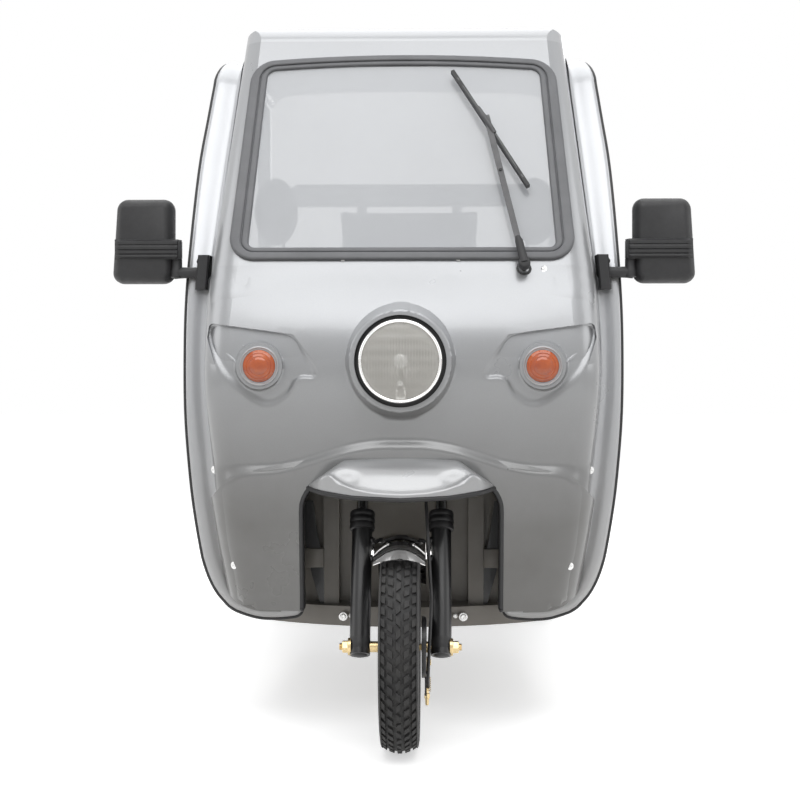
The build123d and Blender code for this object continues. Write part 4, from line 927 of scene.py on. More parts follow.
def build_flange():
    """Both lips as one sheet each, and the rubber beads on their edges."""
    ribs = flange_ribs()
    work, rubber = bmesh.new(), bmesh.new()
    for sign in (-1, 1):
        rows, bead = [], []
        for (xi, si, zi), (xo, so, zo), (way_s, way_z) in ribs:
            row = []
            for share, ahead in LIP:
                s, z = lerp(si, so, share), lerp(zi, zo, share)
                reach = ahead + TRIM_RADIUS
                row.append(at(sign * lerp(xi, xo, share), s + way_s * reach, z + way_z * reach))
            rows.append(row)
            bead.append(at(sign * xo, so + way_s * 0.0075, zo + way_z * 0.0075))
        add_grid(work, rows)
        foot = [at(sign * x, s, z) for x, s, z in (
            (0.2405, 0.0975, 0.320), (0.2415, 0.1050, 0.3155), (0.2440, 0.1600, 0.3150),
            (0.2480, 0.2180, 0.3150), (0.2496, 0.2335, 0.3120), (0.2505, 0.2340, 0.3040))]
        add_tube(rubber, smooth_route(foot + bead, 2), TRIM_RADIUS, 10)
    new_piece("shell_lips", work, highlit_lip_silver, "chassis", 60.0)
    return rubber


# Rubber trims: beads on the flanges, the arch and the hood's lip

def build_trims():
    rubber = build_flange()
    loop = []
    for i in range(17):
        loop.append((0.2400, lerp(0.320, 0.556, i / 16)))
    for i in range(1, 9):
        a = math.pi / 2 * i / 8
        loop.append((0.162 + 0.078 * math.cos(a), 0.560 + 0.078 * math.sin(a)))
    loop += [(lerp(0.162, 0.0, i / 6), 0.638) for i in range(1, 7)]
    loop += [(-x, z) for x, z in reversed(loop[:-1])]
    route = []
    for x, z in loop:
        route.append(at(x, skin_station(x, max(z, SKIN_TURN)) + 0.001, z))
    add_tube(rubber, route, 0.0062, 10)
    within = [Vector((p.x * 0.9725, p.y, p.z - 0.0066 * smooth_step((p.z - 0.55) / 0.08))) for p in route]
    add_grid(rubber, [[p + Vector((0, back, 0)) for p in within] for back in (-0.002, 0.014)])
    lip = []
    for i in range(65):
        u = -1 + 2 * i / 64
        x = HOOD_HALF * math.sin(u * math.pi / 2)
        far = abs(x)
        lip.append(at(x * 1.004, table(HOOD_FRONT, far) - 0.0005, table(HOOD_LIP, far) - 0.0035))
    add_tube(rubber, lip, 0.0056, 10)
    piece = new_piece("rubber_trims", rubber, trim, "chassis", 60.0)
    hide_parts("edge_trim")


# Relief beside the indicators: two thin ribs in the eye-shaped recess

EYE_RIBS = (((0.438, 0.981), (0.372, 0.954)), ((0.441, 0.958), (0.390, 0.914)))


def skin_station(x, z):
    """Station of the skin's pressed surface at a place of its front view."""
    low, high = 0.0, 2.0
    for _ in range(30):
        mid = (low + high) / 2
        if skin_point(mid, z)[0] < abs(x):
            low = mid
        else:
            high = mid
    return shaped_station(x, skin_point(low, z)[1], z)


def build_eye_ribs():
    work = bmesh.new()
    for sign in (-1, 1):
        for (x0, z0), (x1, z1) in EYE_RIBS:
            route = []
            for i in range(9):
                t = i / 8
                x, z = lerp(x0, x1, t), lerp(z0, z1, t)
                route.append(at(sign * x, skin_station(x, z) - 0.0003, z))
            add_tube(work, route, [0.0008] + [0.0034] * 7 + [0.0012], 10)
    new_piece("eye_ribs", work, silver, "chassis")


# Screws of the screen's panel and the shell, and the apron's bolts

SCREEN_RAKE = math.radians(23)
SCREEN_OUT = Vector((0, -math.cos(SCREEN_RAKE), math.sin(SCREEN_RAKE)))
SCREEN_UP = Vector((0, math.sin(SCREEN_RAKE), math.cos(SCREEN_RAKE)))
SCREEN_FOOT = (0.091, 1.122)


def on_screen(x, z, out=0.0):
    """Point on the raked plane of the windscreen."""
    station = SCREEN_FOOT[0] + (z - SCREEN_FOOT[1]) * math.tan(SCREEN_RAKE)
    return at(x, station, z) + SCREEN_OUT * out


def build_front_screws():
    work = bmesh.new()
    for x in (0.264, 0.341):
        add_screw(work, on_screen(x, 1.1405, 0.0005), SCREEN_OUT, 0.0052)
    for sign in (-1, 1):
        for x, z in ((0.462, 0.652), (0.410, 0.420)):
            add_screw(work, at(sign * x, skin_station(x, z), z), (sign * 0.5, -0.85, -0.1), 0.0055)
    new_piece("shell_screws", work, zinc_white, "chassis")
    work = bmesh.new()
    for sign in (-1, 1):
        place = at(sign * 0.153, 0.289, 0.270)
        add_screw(work, place, FORWARD, 0.0075, True, 1.5)
        add_screw(work, place + Vector((-0.020 * sign, 0, 0.002)), FORWARD, 0.0045, True, 1.3)
    new_piece("apron_bolts", work, zinc_white, "chassis")


# Windscreen gasket: drain tabs

def build_gasket_details():
    work = bmesh.new()
    for x in (-0.142, 0.137):
        add_block(work, on_screen(x, 1.1625) + Vector((-0.0045, -0.0035, -0.003)),
                  on_screen(x, 1.1625) + Vector((0.0045, -0.0005, 0.004)), 0.0008)
    new_piece("gasket_tabs", work, lens_white, "chassis")


# Wiper: spindle cap, the arm's hinge, and the blade's carrier with its claws

WIPER_PIVOT, WIPER_TIP = (0.294, 1.139), (0.209, 1.520)
WIPER_BLADE = ((0.125, 1.646), (0.309, 1.338))


def along_line(line, share, out):
    """Point over the screen at a share of the way between the (x, z) ends of a line."""
    return on_screen(*(lerp(a, b, share) for a, b in zip(*line)), out)


def build_wiper_details():
    work = bmesh.new()
    pivot = on_screen(*WIPER_PIVOT)
    add_lathe(work, pivot, SCREEN_OUT, [(0.024, 0.0145), (0.037, 0.0145), (0.041, 0.013), (0.043, 0.009),
                                        (0.0435, 0)],
              32)
    add_lathe(work, pivot, SCREEN_OUT, [(0.0005, 0.019), (0.004, 0.019), (0.006, 0.0165), (0.0065, 0.0125)],
              32)
    arm = (WIPER_PIVOT, WIPER_TIP)
    heads = [along_line(arm, t, out) for t, out in ((0.0, 0.036), (0.06, 0.037), (0.14, 0.0375),
                                                    (0.17, 0.0355))]
    add_tube(work, heads, [0.0115, 0.0105, 0.0095, 0.0062], 16)
    for t in (0.115, 0.62):
        add_lathe(work, along_line(arm, t, 0.033), SCREEN_OUT,
                  [(0, 0.0042), (0.0028, 0.0042), (0.0042, 0.003), (0.0046, 0)], 16)
    new_piece("wiper_arm_hinge", work, dark_plastic, "wiper")
    work = bmesh.new()
    clip = [along_line(WIPER_BLADE, t, out) for t, out in ((0.34, 0.0305), (0.42, 0.0335), (0.50, 0.034),
                                                           (0.56, 0.0305))]
    add_tube(work, smooth_route(clip, 4), 0.0062, 12)
    for a, b in ((0.08, 0.46), (0.46, 0.92)):
        bow = [along_line(WIPER_BLADE, lerp(a, b, t), 0.0235 + 0.0065 * (t if a < 0.2 else 1 - t))
               for t in (0, 0.35, 0.7, 1)]
        add_tube(work, smooth_route(bow, 4), 0.0036, 10)
    for t in (0.08, 0.27, 0.66, 0.92):
        claw = [along_line(WIPER_BLADE, t + way, 0.0225) for way in (-0.012, 0.012)]
        add_tube(work, claw, 0.0058, 10)
    new_piece("wiper_carrier", work, wiper_grey, "wiper")


# Fork: ribbed dust seals, fender bolts, axle nuts, and the fender's rolled edge

RAKE = math.radians(25)
LEG_UP = Vector((0, math.sin(RAKE), math.cos(RAKE)))
LEG_BACK = Vector((0, math.cos(RAKE), -math.sin(RAKE)))
LEG_X = 0.096


def leg_place(x, along, back=0.0):
    return at(x, 0, AXLE_Z) + LEG_UP * along + LEG_BACK * back


def build_fork_details():
    seals, bolts, nuts = bmesh.new(), bmesh.new(), bmesh.new()
    for sign in (-1, 1):
        foot = leg_place(sign * LEG_X, 0)
        profile = [(0.288, 0.0247), (0.290, 0.0300), (0.296, 0.0310), (0.302, 0.0302), (0.304, 0.0285),
                   (0.306, 0.0302), (0.312, 0.0312), (0.318, 0.0302), (0.320, 0.0285), (0.322, 0.0300),
                   (0.330, 0.0308), (0.336, 0.0285), (0.338, 0.021), (0.3385, 0.0155)]
        add_lathe(seals, foot, LEG_UP, profile, 40)
        add_lathe(seals, foot, LEG_UP, [(-0.024, 0), (-0.0235, 0.012), (-0.0205, 0.0185), (-0.014, 0.0225),
                                        (-0.004, 0.0250), (0.006, 0.0252), (0.020, 0.0247)], 40)
        for along in (0.216, 0.262):
            place = leg_place(sign * (LEG_X - 0.026), along, -0.004)
            add_screw(bolts, place, (sign * -1, -0.15, 0), 0.0062, True, 1.4)
        axle = at(sign * (LEG_X + 0.0245), 0, AXLE_Z)
        add_lathe(nuts, axle, (sign, 0, 0), [(-0.004, 0.0205), (0.0025, 0.0205), (0.0035, 0.0190),
                                             (0.0035, 0.0145)], 32)
        add_lathe(nuts, axle, (sign, 0, 0), [(0.0035, 0.0150), (0.0150, 0.0150), (0.0165, 0.0135),
                                             (0.0165, 0.009)], 6)
        for k in range(4):
            add_lathe(nuts, axle, (sign, 0, 0),
                      [(0.0170 + 0.0016 * k, 0.0078), (0.0178 + 0.0016 * k, 0.0084),
                                                 (0.0186 + 0.0016 * k, 0.0078)], 20)
    new_piece("fork_dust_seals", seals, trim, "steering")
    new_piece("fender_bolts", bolts, black_steel, "steering")
    new_piece("axle_nuts", nuts, zinc, "steering")


def build_fender_edge():
    """Rolled bead along the chrome fender's front and rear lips."""
    work = bmesh.new()
    half, edge, crown = 0.059, 0.252, 0.268
    for degrees in (62.6, 156.7):
        a = math.radians(degrees)
        route = []
        for i in range(25):
            u = -1 + 2 * i / 24
            across = half * max(-1, min(1, u * 1.12))
            radius = crown - (crown - edge) * (across / half) ** 2 - 0.0015
            route.append(at(across, -radius * math.cos(a), AXLE_Z + radius * math.sin(a)))
        add_tube(work, route, 0.0022, 8)
    new_piece("fender_beads", work, chrome, "steering")


# Front brake: cast plate with ribs, lever, return spring and the cable's adjuster

def build_brake_details():
    work = bmesh.new()
    centre = at(0.057, 0, AXLE_Z)
    add_lathe(work, centre, (1, 0, 0), [(0.0, 0.070), (0.003, 0.0695), (0.0045, 0.066), (0.004, 0.060),
                                        (0.0015, 0.055)],
              56)
    ribs_at = centre + Vector((0.0015, 0, 0))
    for ends in zip(round_x(ribs_at, 0.022, 6, 0.3), round_x(ribs_at, 0.058, 6, 0.3)):
        add_tube(work, ends, 0.0028, 8)
    new_piece("brake_plate_ribs", work, black_steel, "steering")
    work = bmesh.new()
    lever = [(0.0605, 0.021, 0.212), (0.0615, 0.022, 0.190), (0.0625, 0.021, 0.160), (0.0625, 0.020, 0.132)]
    add_tube(work, smooth_route([at(*p) for p in lever], 4), 0.0042, 10)
    add_screw(work, at(0.064, 0.021, 0.205), (1, 0, 0), 0.008, True)
    add_lathe(work, at(0.0625, 0.020, 0.128), (0, 0, -1), [(-0.004, 0), (-0.003, 0.0065), (0.008, 0.0065),
                                                           (0.010, 0.0045), (0.024, 0.004), (0.026, 0)], 20)
    spring = []
    for i in range(90):
        a = i * 0.55
        spring.append(at(0.0665 + 0.0045 * math.cos(a), 0.020 + 0.0045 * math.sin(a), 0.136 + i * 0.0004))
    add_tube(work, spring, 0.0008, 6)
    new_piece("brake_lever_parts", work, zinc, "steering")


# Seats: cloth cushions blown up in Blender and sewn

CUSHIONS = (
    ("seat_cushion", "seat_cushion_pad", (0.010, 0.010, 0.012), 0.020),
    ("seat_backrest", "seat_back_pad", (0.010, 0.010, 0.010), 0.014),
)


def pad_of(node, name, shrink, cap):
    """A cushion in its CAD solid's space, blown up by cloth simulation."""
    low, high = (Vector(v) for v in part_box(node))
    low += Vector(shrink)
    high -= Vector(shrink)
    work = bmesh.new()
    add_block(work, low, high, min(high - low) * 0.32, steps=4)
    data = bpy.data.meshes.new(name)
    work.to_mesh(data)
    work.free()
    piece = bpy.data.objects.new(name, data)
    bpy.context.collection.objects.link(piece)
    bpy.context.view_layer.objects.active = piece
    piece.select_set(True)
    remesh = piece.modifiers.new("even", "REMESH")
    remesh.mode = "VOXEL"
    remesh.voxel_size = 0.006
    apply_modifier(piece, remesh)
    rest = [v.co.copy() for v in piece.data.vertices]
    cloth = piece.modifiers.new("blow", "CLOTH")
    cloth.settings.use_pressure = True
    cloth.settings.uniform_pressure_force = 4.0
    cloth.settings.effector_weights.gravity = 0.0
    scene = bpy.context.scene
    for number in range(1, 21):
        scene.frame_set(number)
    apply_modifier(piece, cloth)
    scene.frame_set(1)
    bound_low, bound_high = (Vector(v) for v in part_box(node))
    for vert, start in zip(piece.data.vertices, rest):
        move = vert.co - start
        if move.length > cap:
            move *= cap / move.length
        spot = start + move
        vert.co = Vector(tuple(max(lo - 0.004, min(hi + 0.004, v))
                               for v, lo, hi in zip(spot, bound_low, bound_high)))
    return piece


def apply_modifier(piece, modifier):
    with bpy.context.temp_override(object=piece, active_object=piece, selected_objects=[piece]):
        bpy.ops.object.modifier_apply(modifier=modifier.name)


def sew(piece, seams, deep, wide):
    """Presses seams into a pad: planes given by a point and a normal."""
    for vert in piece.data.vertices:
        normal = vert.normal.copy()
        push = 0.0
        for spot, way in seams:
            near = abs((vert.co - Vector(spot)).dot(Vector(way)))
            if near < wide:
                push = max(push, deep * (0.5 + 0.5 * math.cos(math.pi * near / wide)))
        if push:
            vert.co -= normal * push


def build_seats():
    for node, name, shrink, cap in CUSHIONS:
        piece = pad_of(node, name, shrink, cap)
        low, high = (Vector(v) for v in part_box(node))
        mid = (low + high) / 2
        if node == "seat_cushion":
            seams = [((x, 0, 0), (1, 0, 0)) for x in (-0.14, -0.047, 0.047, 0.14)]
            seams.append(((0, 0, mid.z + 0.012), (0, 0, 1)))
        else:
            seams = [((0, 0, z), (0, 0, 1)) for z in (1.135, 1.225, 1.315)]
            seams.append(((0, mid.y + 0.006, 0), (0, 1, 0)))
        sew(piece, seams, 0.0045, 0.009)
        smooth = piece.modifiers.new("round", "SUBSURF")
        smooth.levels = smooth.render_levels = 1
        dress(piece, vinyl, 80.0)
        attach(piece, "chassis")
        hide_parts(node)


# Handlebar: grip rings, levers with perches, cables, switch blocks and the instrument's face

BAR_BASE = leg_place(0, 0.905, 0.035)
BAR_KNEE, BAR_END = Vector((0.250, 0.040, 0.026)), Vector((0.385, 0.095, 0.030))


def build_bar_details():
    rubber, metal, plastic = bmesh.new(), bmesh.new(), bmesh.new()
    for sign in (-1, 1):
        flip = Vector((sign, 1, 1))
        end, knee = BAR_BASE + BAR_END * flip, BAR_BASE + BAR_KNEE * flip
        way = (knee - end).normalized()
        profile = [(-0.006, 0), (-0.006, 0.0150), (-0.004, 0.0190), (0.0, 0.0205), (0.004, 0.0195)]
        for k in range(14):
            start = 0.008 + k * 0.0078
            profile += [(start, 0.0178), (start + 0.0014, 0.0187), (start + 0.0052, 0.0187),
                        (start + 0.0066, 0.0178)]
        profile += [(0.1185, 0.0225), (0.1205, 0.0225), (0.1215, 0.0120)]
        add_lathe(rubber, end, way, profile, 28)
        perch = end + way * 0.142
        add_lathe(plastic, perch - way * 0.018, way,
                  [(0, 0.012), (0.001, 0.0195), (0.003, 0.0208), (0.033, 0.0208),
                                                      (0.035, 0.0195), (0.036, 0.012)], 24)
        add_block(plastic, perch + Vector((-0.016, -0.032, -0.016)), perch + Vector((0.016, 0.012, 0.018)),
                  0.005)
        lever = [perch + Vector((0, -0.026, -0.002)), perch + Vector((sign * 0.035, -0.050, -0.006)),
                 perch + Vector((sign * 0.085, -0.045, -0.010)),
                 perch + Vector((sign * 0.135, -0.018, -0.014)),
                 perch + Vector((sign * 0.150, -0.006, -0.012))]
        add_tube(metal, smooth_route(lever, 6), [0.0052] * 24 + [0.0064], 12)
        cable = [perch + Vector((-sign * 0.012, -0.030, 0.0)),
                 perch + Vector((-sign * 0.060, -0.075, -0.004)),
                 BAR_BASE + Vector((sign * 0.075, -0.058, -0.022)),
                 BAR_BASE + Vector((sign * 0.030, -0.020, -0.060)),
                 BAR_BASE + Vector((sign * 0.018, -0.006, -0.095))]
        add_tube(rubber, smooth_route(cable, 8), 0.0026, 8)
    new_piece("grip_sleeves", rubber, trim, "steering")
    new_piece("brake_levers", metal, rim_metal, "steering")
    low, high = (Vector(v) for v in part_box("instrument_pod"))
    add_block(plastic, (low.x + 0.012, high.y - 0.004, low.z + 0.010),
              (high.x - 0.012, high.y + 0.0045, high.z - 0.008), 0.003)
    new_piece("switch_blocks", plastic, dark_plastic, "steering")
    screen = bmesh.new()
    add_block(screen, (low.x + 0.030, high.y + 0.0035, low.z + 0.020),
              (high.x - 0.030, high.y + 0.0060, high.z - 0.014), 0.001)
    new_piece("instrument_screen", screen, dark_glass, "steering")
    work = bmesh.new()
    for sign in (-1, 1):
        ball = Vector((sign * 0.350, FRONT_AXLE_Y + 0.545 - 0.014, 1.328))
        add_lathe(work, ball, FORWARD, [(0.0, 0.016), (0.004, 0.0150), (0.008, 0.0110), (0.009, 0.006),
                                        (0.0092, 0)], 24)
    new_piece("bar_mirror_caps", work, dark_plastic, "steering")
    work = bmesh.new()
    for sign in (-1, 1):
        place = Vector((sign * 0.350, FRONT_AXLE_Y + 0.558, 1.328))
        rows = []
        for k in range(9):
            r = k / 8
            rows.append([place + Vector((0.052 * r * math.cos(a), 0.0006 + 0.001 * (1 - r),
                                         0.084 * r * math.sin(a)))
                         for a in (math.tau * i / 48 for i in range(49))])
        add_grid(work, rows)
    weld(work)
    new_piece("bar_mirror_faces", work, mirror_face, "steering")


# Rear running gear: spring clamps and plates, and the hubs' screws

WHEEL_X, REAR_S = 0.465, 2.080


def build_rear_details():
    black, zinc_parts = bmesh.new(), bmesh.new()
    for sign in (-1, 1):
        spring_x = sign * 0.300
        for s in (REAR_S - 0.036, REAR_S + 0.036):
            for side in (-0.033, 0.033):
                foot = at(spring_x + side, s, 0.198)
                add_tube(zinc_parts, [foot, foot + Vector((0, 0, 0.126))], 0.0055, 10)
                add_screw(zinc_parts, foot + Vector((0, 0, 0.006)), (0, 0, -1), 0.009, True, 1.3)
            add_tube(zinc_parts, [at(spring_x - 0.033, s, 0.322), at(spring_x + 0.033, s, 0.322)], 0.0055,
                     10)
        add_block(black, at(spring_x - 0.042, REAR_S - 0.055, 0.192),
                  at(spring_x + 0.042, REAR_S + 0.055, 0.200), 0.002)
        for s in (1.735, 2.425):
            add_screw(zinc_parts, at(spring_x + sign * 0.026, s, 0.461), (sign, 0, 0), 0.010, True, 1.4)
        for spot in round_x(at(sign * (WHEEL_X + 0.049), REAR_S, AXLE_Z), 0.045, 5):
            add_screw(zinc_parts, spot, (sign, 0, 0), 0.0085, True, 1.35)
    new_piece("spring_clamps", zinc_parts, zinc_white, "chassis")
    new_piece("spring_plates", black, black_steel, "chassis")


def build_rear_wheel_details():
    for body, sign in (("rear_wheel_left", 1), ("rear_wheel_right", -1)):
        work = bmesh.new()
        for spot in round_x(at(sign * (WHEEL_X + 0.048), REAR_S, AXLE_Z), 0.050, 5, 0.3):
            add_screw(work, spot, (sign, 0, 0), 0.0085, True, 1.35)
        add_lathe(work, at(sign * (WHEEL_X + 0.046), REAR_S, AXLE_Z), (sign, 0, 0), [
            (0, 0.030), (0.012, 0.0295), (0.0165, 0.026), (0.018, 0.018), (0.0182, 0)], 32)
        new_piece(body + "_nuts", work, zinc_white, body)


# Door mirrors, as the photograph has them: clamp, arm, pivot, and a housing with a grooved band

# Outline of a housing seen from the front, about its middle: half width and half height, and corner radius
MIRROR_HALF, MIRROR_ROUND = (0.0755, 0.1065), 0.028
# How deep the housing goes, and how much smaller its outline gets there
MIRROR_BACK = ((0.0, 0.020), (0.0035, 0.0135), (0.010, 0.0075), (0.020, 0.0030), (0.030, 0.0008),
               (0.044, 0.0), (0.052, 0.0010), (0.054, 0.0030), (0.0535, 0.0070), (0.0505, 0.0078))


def round_rect(half_w, half_h, radius, steps=7):
    """Rectangle with round corners, as (x, z) from the lower left corner's end onwards."""
    loop = []
    for qx, qz, start in ((1, -1, -90), (1, 1, 0), (-1, 1, 90), (-1, -1, 180)):
        for i in range(steps + 1):
            a = math.radians(start + 90 * i / steps)
            loop.append((qx * (half_w - radius) + radius * math.cos(a),
                         qz * (half_h - radius) + radius * math.sin(a)))
    return loop


def add_dished(work, place, sign, outline, levels, close_front=True):
    """Closed shell of one outline that shrinks by levels of (depth, inset); the first level is capped."""
    half_w, half_h, radius = outline
    rings = []
    for depth, inset in levels:
        ring = []
        for x, z in round_rect(half_w - inset, half_h - inset, max(radius - inset, 0.004)):
            taper = 1.0 - 0.045 * z / half_h
            lean = 0.035 * z
            ring.append(work.verts.new((place[0] + sign * (x * taper - lean), place[1] + depth,
                                        place[2] + z)))
        rings.append(ring)
    count = len(rings[0])
    for a, b in zip(rings, rings[1:]):
        for i in range(count):
            work.faces.new((a[i], a[(i + 1) % count], b[(i + 1) % count], b[i]))
    if close_front:
        work.faces.new(rings[0])
    return rings


def build_door_mirrors():
    """Housings, faces and arms; they stand for the CAD's plainer ones."""
    middle, station, height = 0.6520, 0.226, 1.222
    shells, faces, arms = bmesh.new(), bmesh.new(), bmesh.new()
    for sign in (-1, 1):
        place = at(sign * middle, station, height)
        add_dished(shells, place, sign, (*MIRROR_HALF, MIRROR_ROUND), MIRROR_BACK)
        rings = add_dished(faces, place + Vector((0, 0.0500, 0)), sign,
                           (MIRROR_HALF[0] - 0.008, MIRROR_HALF[1] - 0.008,
                                                                         MIRROR_ROUND - 0.008),
                           ((0.0, 0.0), (0.001, 0.0)), False)
        faces.faces.new(rings[-1])
        low, high = -0.047, 0.003
        rows = []
        for k in range(29):
            t = k / 28
            z = lerp(low, high, t)
            edge = min(t, 1 - t) * (high - low)
            proud = 0.0085 * smooth_step(edge / 0.006)
            for groove in (0.012, 0.0235, 0.035):
                proud -= 0.0030 * math.exp(-((z - low - groove) / 0.0013) ** 2)
            row = []
            for i in range(25):
                x = lerp(-0.0700, 0.0950, i / 24)
                far_edge = smooth_step((x + 0.0700) / 0.010)
                near_edge = math.sqrt(max(0.0, 1 - max(0.0, (x - 0.083) / 0.012) ** 2))
                back = 0.026 * (1 - near_edge)
                row.append(place + Vector((-sign * x, -proud * far_edge + back, z)))
            rows.append(row)
        add_grid(shells, rows)
        add_block(shells, *corners(place, sign, (0.068, 0.095), (0.0, 0.036), (low, high)), 0.005)
        pivot = at(sign * 0.5700, 0.2480, 1.1500)
        add_lathe(arms, pivot, (0, 0, 1), [(-0.020, 0.0), (-0.020, 0.0140), (-0.018, 0.0160),
                                           (0.000, 0.0160), (0.004, 0.0140), (0.026, 0.0140)], 28)
        arm = [at(sign * x, 0.2480, z) for x, z in ((0.5760, 1.1415), (0.5600, 1.1425), (0.5300, 1.1430),
                                                    (0.5050, 1.1430))]
        add_tube(arms, arm, [0.0150, 0.0145, 0.0135, 0.0140], 12)
        rows = []
        for k in range(9):
            z = lerp(1.0990, 1.1855, k / 8)
            lean = wall_out(z) - wall_out(1.142)
            rows.append([at(sign * (x + lean), s, z) for x, s in (
                (0.4880, 0.2440), (0.4880, 0.2250), (0.4910, 0.2215), (0.5130, 0.2215), (0.5160, 0.2250),
                (0.5160, 0.2700), (0.4860, 0.2700))])
        add_grid(arms, rows)
        for row in (rows[0], rows[-1]):
            arms.faces.new([arms.verts.new(p) for p in row])
        for z in (1.114, 1.171):
            add_screw(arms, at(sign * 0.5160, 0.2480, z), (sign, 0, 0), 0.0042)
    piece = new_piece("door_mirror_housings", shells, dark_plastic, "chassis", 40.0)
    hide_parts("mirror_housings")
    piece = new_piece("door_mirror_faces", faces, mirror_face, "chassis")
    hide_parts("mirror_glasses")
    piece = new_piece("door_mirror_arms", arms, dark_plastic, "chassis", 40.0)
    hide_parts("mirror_arms")


def corners(place, sign, across, deep, tall):
    """Low and high corner of a block beside a place, mirrored with the side."""
    xs = sorted((-sign * across[0], -sign * across[1]))
    return place + Vector((xs[0], deep[0], tall[0])), place + Vector((xs[1], deep[1], tall[1]))


# Windscreen gasket: a flat band with a ridge round its outside and a filler strip within

GASKET_HALF, GASKET_INSET = (0.4190, 0.3900), (0.044, 0.034, 0.028)
GASKET_ROUND, GASKET_RISE = (0.060, 0.070), 0.016
GASKET_SPAN = (1.1620, 1.7020)
# Across the band from outside: share of its width, and how far it stands off the screen's plane
GASKET_BAND = ((0.0, -0.002), (0.0, 0.0060), (0.03, 0.0082), (0.08, 0.0095), (0.16, 0.0098), (0.44, 0.0098),
               (0.52, 0.0094), (0.56, 0.0080), (0.575, 0.0045), (0.61, 0.0040), (0.64, 0.0062),
               (0.70, 0.0070), (0.90, 0.0068), (0.96, 0.0058), (1.0, 0.0030), (1.0, -0.004))


def gasket_loop(share, low, high):
    """Outline of the gasket in the screen's plane at a share of its width, as (x, up the plane)."""
    side, under, over = (share * v for v in GASKET_INSET)
    slope = (GASKET_HALF[0] - GASKET_HALF[1]) / (high - low)
    bottom, top = low + under, high - over
    (xb, rb), (xt, rt) = ((GASKET_HALF[0] - side - slope * (v - low), max(r - side, 0.012))
                          for v, r in ((bottom, GASKET_ROUND[0]), (top, GASKET_ROUND[1])))
    loop = [(lerp(-(xb - rb), xb - rb, i / 10), bottom) for i in range(11)]
    arc = [math.radians(90 * i / 8) for i in range(1, 9)]
    loop += [(xb - rb + rb * math.sin(a), bottom + rb - rb * math.cos(a)) for a in arc]
    edge = top - GASKET_RISE * 0.85
    loop += [(lerp(xb, xt, i / 8), lerp(bottom + rb, edge - rt, i / 8)) for i in range(1, 9)]
    loop += [(xt - rt + rt * math.cos(a), edge - rt + rt * math.sin(a)) for a in arc]
    half = xt - rt
    loop += [(half * (1 - i / 5), edge + GASKET_RISE * 0.85 * (1 - (1 - i / 5) ** 2)) for i in range(1, 6)]
    right = [p for p in loop if p[0] > 0.0001]
    return right + [(0.0, top)] + [(-x, v) for x, v in reversed(right)] + [(0.0, bottom)]


def build_gasket():
    low, high = ((z - SCREEN_FOOT[1]) / math.cos(SCREEN_RAKE) for z in GASKET_SPAN)
    work = bmesh.new()
    rows = []
    for share, out in GASKET_BAND:
        base = at(0, *SCREEN_FOOT)
        loop = gasket_loop(share, low, high)
        loop = [p for i, p in enumerate(loop) if p != loop[i - 1]]
        rows.append([base + Vector((x, 0, 0)) + SCREEN_UP * v + SCREEN_OUT * out
                     for x, v in loop + loop[:1]])
    add_grid(work, rows)
    weld(work)
    piece = new_piece("gasket_band", work, seal, "chassis", 50.0)
    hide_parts("windscreen_gasket")


# Gusset plates beside the wheel arch, and the brackets that hold them

GUSSET = ((0.206, 0.294), (0.207, 0.400), (0.222, 0.470), (0.234, 0.560), (0.262, 0.560), (0.258, 0.470),
          (0.238, 0.370), (0.216, 0.294))


def build_gussets():
    plates, brackets = bmesh.new(), bmesh.new()
    for sign in (-1, 1):
        rings = [[plates.verts.new(at(sign * x, s, z)) for x, z in GUSSET] for s in (0.3490, 0.3520)]
        for ring in rings:
            plates.faces.new(ring)
        for i in range(len(GUSSET)):
            j = (i + 1) % len(GUSSET)
            plates.faces.new((rings[0][i], rings[0][j], rings[1][j], rings[1][i]))
        xs = sorted((sign * 0.206, sign * 0.262))
        add_block(brackets, at(xs[0], 0.3400, 0.388), at(xs[1], 0.3880, 0.437), 0.002)
    new_piece("gusset_plates", plates, black_steel, "chassis")
    new_piece("gusset_brackets", brackets, frame_paint, "chassis")


# Floor, light and camera


def rays_seen(tree):
    """1 for rays from the camera, a gloss or a glass, else 0."""
    path = add_node(tree, "LightPath")
    total = path.outputs["Is Camera Ray"]
    for name in ("Is Glossy Ray", "Is Transmission Ray"):
        both = add_node(tree, "Math", {0: total, 1: path.outputs[name]})
        both.operation = "MAXIMUM"
        total = both.outputs[0]
    return total


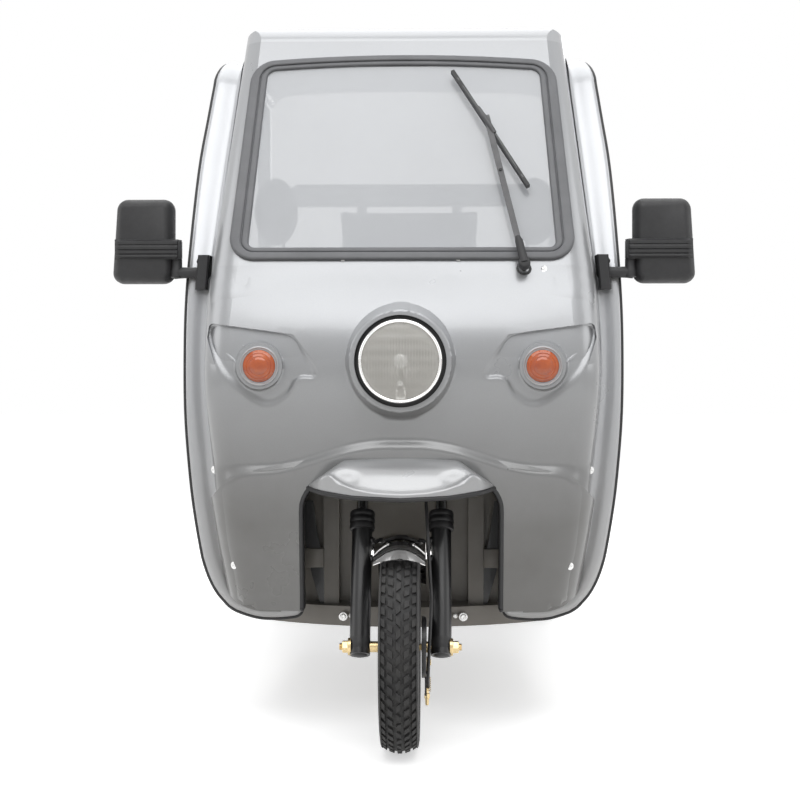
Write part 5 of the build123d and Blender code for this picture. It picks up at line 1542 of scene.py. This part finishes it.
def build_stage():
    """Pale floor that keeps the shadow, white to the camera, and a world that is brighter above."""
    bpy.ops.mesh.primitive_plane_add(size=60.0, location=(0, 0, -0.0005))
    floor = bpy.context.object
    floor.name = "floor"
    material, tree, shader = new_material("floor")
    tree.nodes.remove(shader)
    plain = add_node(tree, "BsdfDiffuse", {"Color": (0.36, 0.335, 0.30, 1)})
    pale = add_node(tree, "BsdfDiffuse", {"Color": (0.92, 0.92, 0.92, 1)})
    glow = add_node(tree, "Emission", {"Strength": 0.52})
    lit = add_node(tree, "AddShader", {0: pale.outputs[0], 1: glow.outputs[0]})
    mix = add_node(tree, "MixShader", {"Fac": rays_seen(tree), 1: plain.outputs[0], 2: lit.outputs[0]})
    set_inputs(tree, tree.nodes["Material Output"], {"Surface": mix.outputs[0]})
    floor.data.materials.append(material)

    world = bpy.data.worlds.new("studio")
    bpy.context.scene.world = world
    world.use_nodes = True
    tree = world.node_tree
    apart = add_node(tree, "SeparateXYZ", {0: add_node(tree, "TexCoord").outputs["Generated"]})
    sky = ramp(tree, apart.outputs["Z"], [(0.0, (0.50, 0.49, 0.48)), (0.2, (0.62, 0.63, 0.65)),
                                          (0.7, (1, 1, 1))])
    background = set_inputs(tree, tree.nodes["Background"], {"Color": sky, "Strength": 0.60})
    white = add_node(tree, "Background", {"Color": (1, 1, 1, 1)})
    mix = add_node(tree, "MixShader", {"Fac": rays_seen(tree), 1: background.outputs[0],
                                       2: white.outputs[0]})
    set_inputs(tree, tree.nodes["World Output"], {"Surface": mix.outputs[0]})


def area_lamp(name, place, target, size, power):
    data = bpy.data.lights.new(name, "AREA")
    data.shape = "RECTANGLE"
    data.size, data.size_y = size
    data.energy = power
    lamp = bpy.data.objects.new(name, data)
    bpy.context.collection.objects.link(lamp)
    lamp.location = place
    lamp.rotation_euler = (Vector(target) - Vector(place)).to_track_quat("-Z", "Y").to_euler()


def build_light():
    area_lamp("top_front", (0.0, -3.8, 4.4), (0, -0.9, 0.8), (5.0, 2.6), 100)
    area_lamp("top", (0, 0.6, 4.8), (0, 0.3, 0.8), (4.4, 4.6), 80)
    area_lamp("left", (-4.4, -1.2, 2.6), (0, -0.2, 0.9), (2.4, 3.0), 26)
    area_lamp("right", (4.4, -1.2, 2.6), (0, -0.2, 0.9), (2.4, 3.0), 26)
    area_lamp("back", (0.4, 4.6, 2.8), (0, 0.6, 0.8), (3.4, 2.0), 40)


def build_camera():
    data = bpy.data.cameras.new("camera")
    data.lens = 67.1
    data.sensor_width = 36.0
    camera = bpy.data.objects.new("camera", data)
    bpy.context.collection.objects.link(camera)
    camera.location = (0.081, -4.730, 0.880)
    camera.rotation_euler = (math.radians(90 - 0.88), 0, math.radians(1.345))
    bpy.context.scene.camera = camera


build_stage()
build_light()
build_camera()
bpy.context.scene.view_settings.view_transform = "Standard"

build_front_skin()
build_trims()
build_hood_skin()
build_gasket()
build_door_mirrors()
build_gussets()
for row in TYRES:
    build_tyre(*row)
build_headlamp()
build_indicators()
build_eye_ribs()
build_front_screws()
build_gasket_details()
build_wiper_details()
build_fork_details()
build_fender_edge()
build_brake_details()
build_seats()
build_bar_details()
build_rear_details()
build_rear_wheel_details()
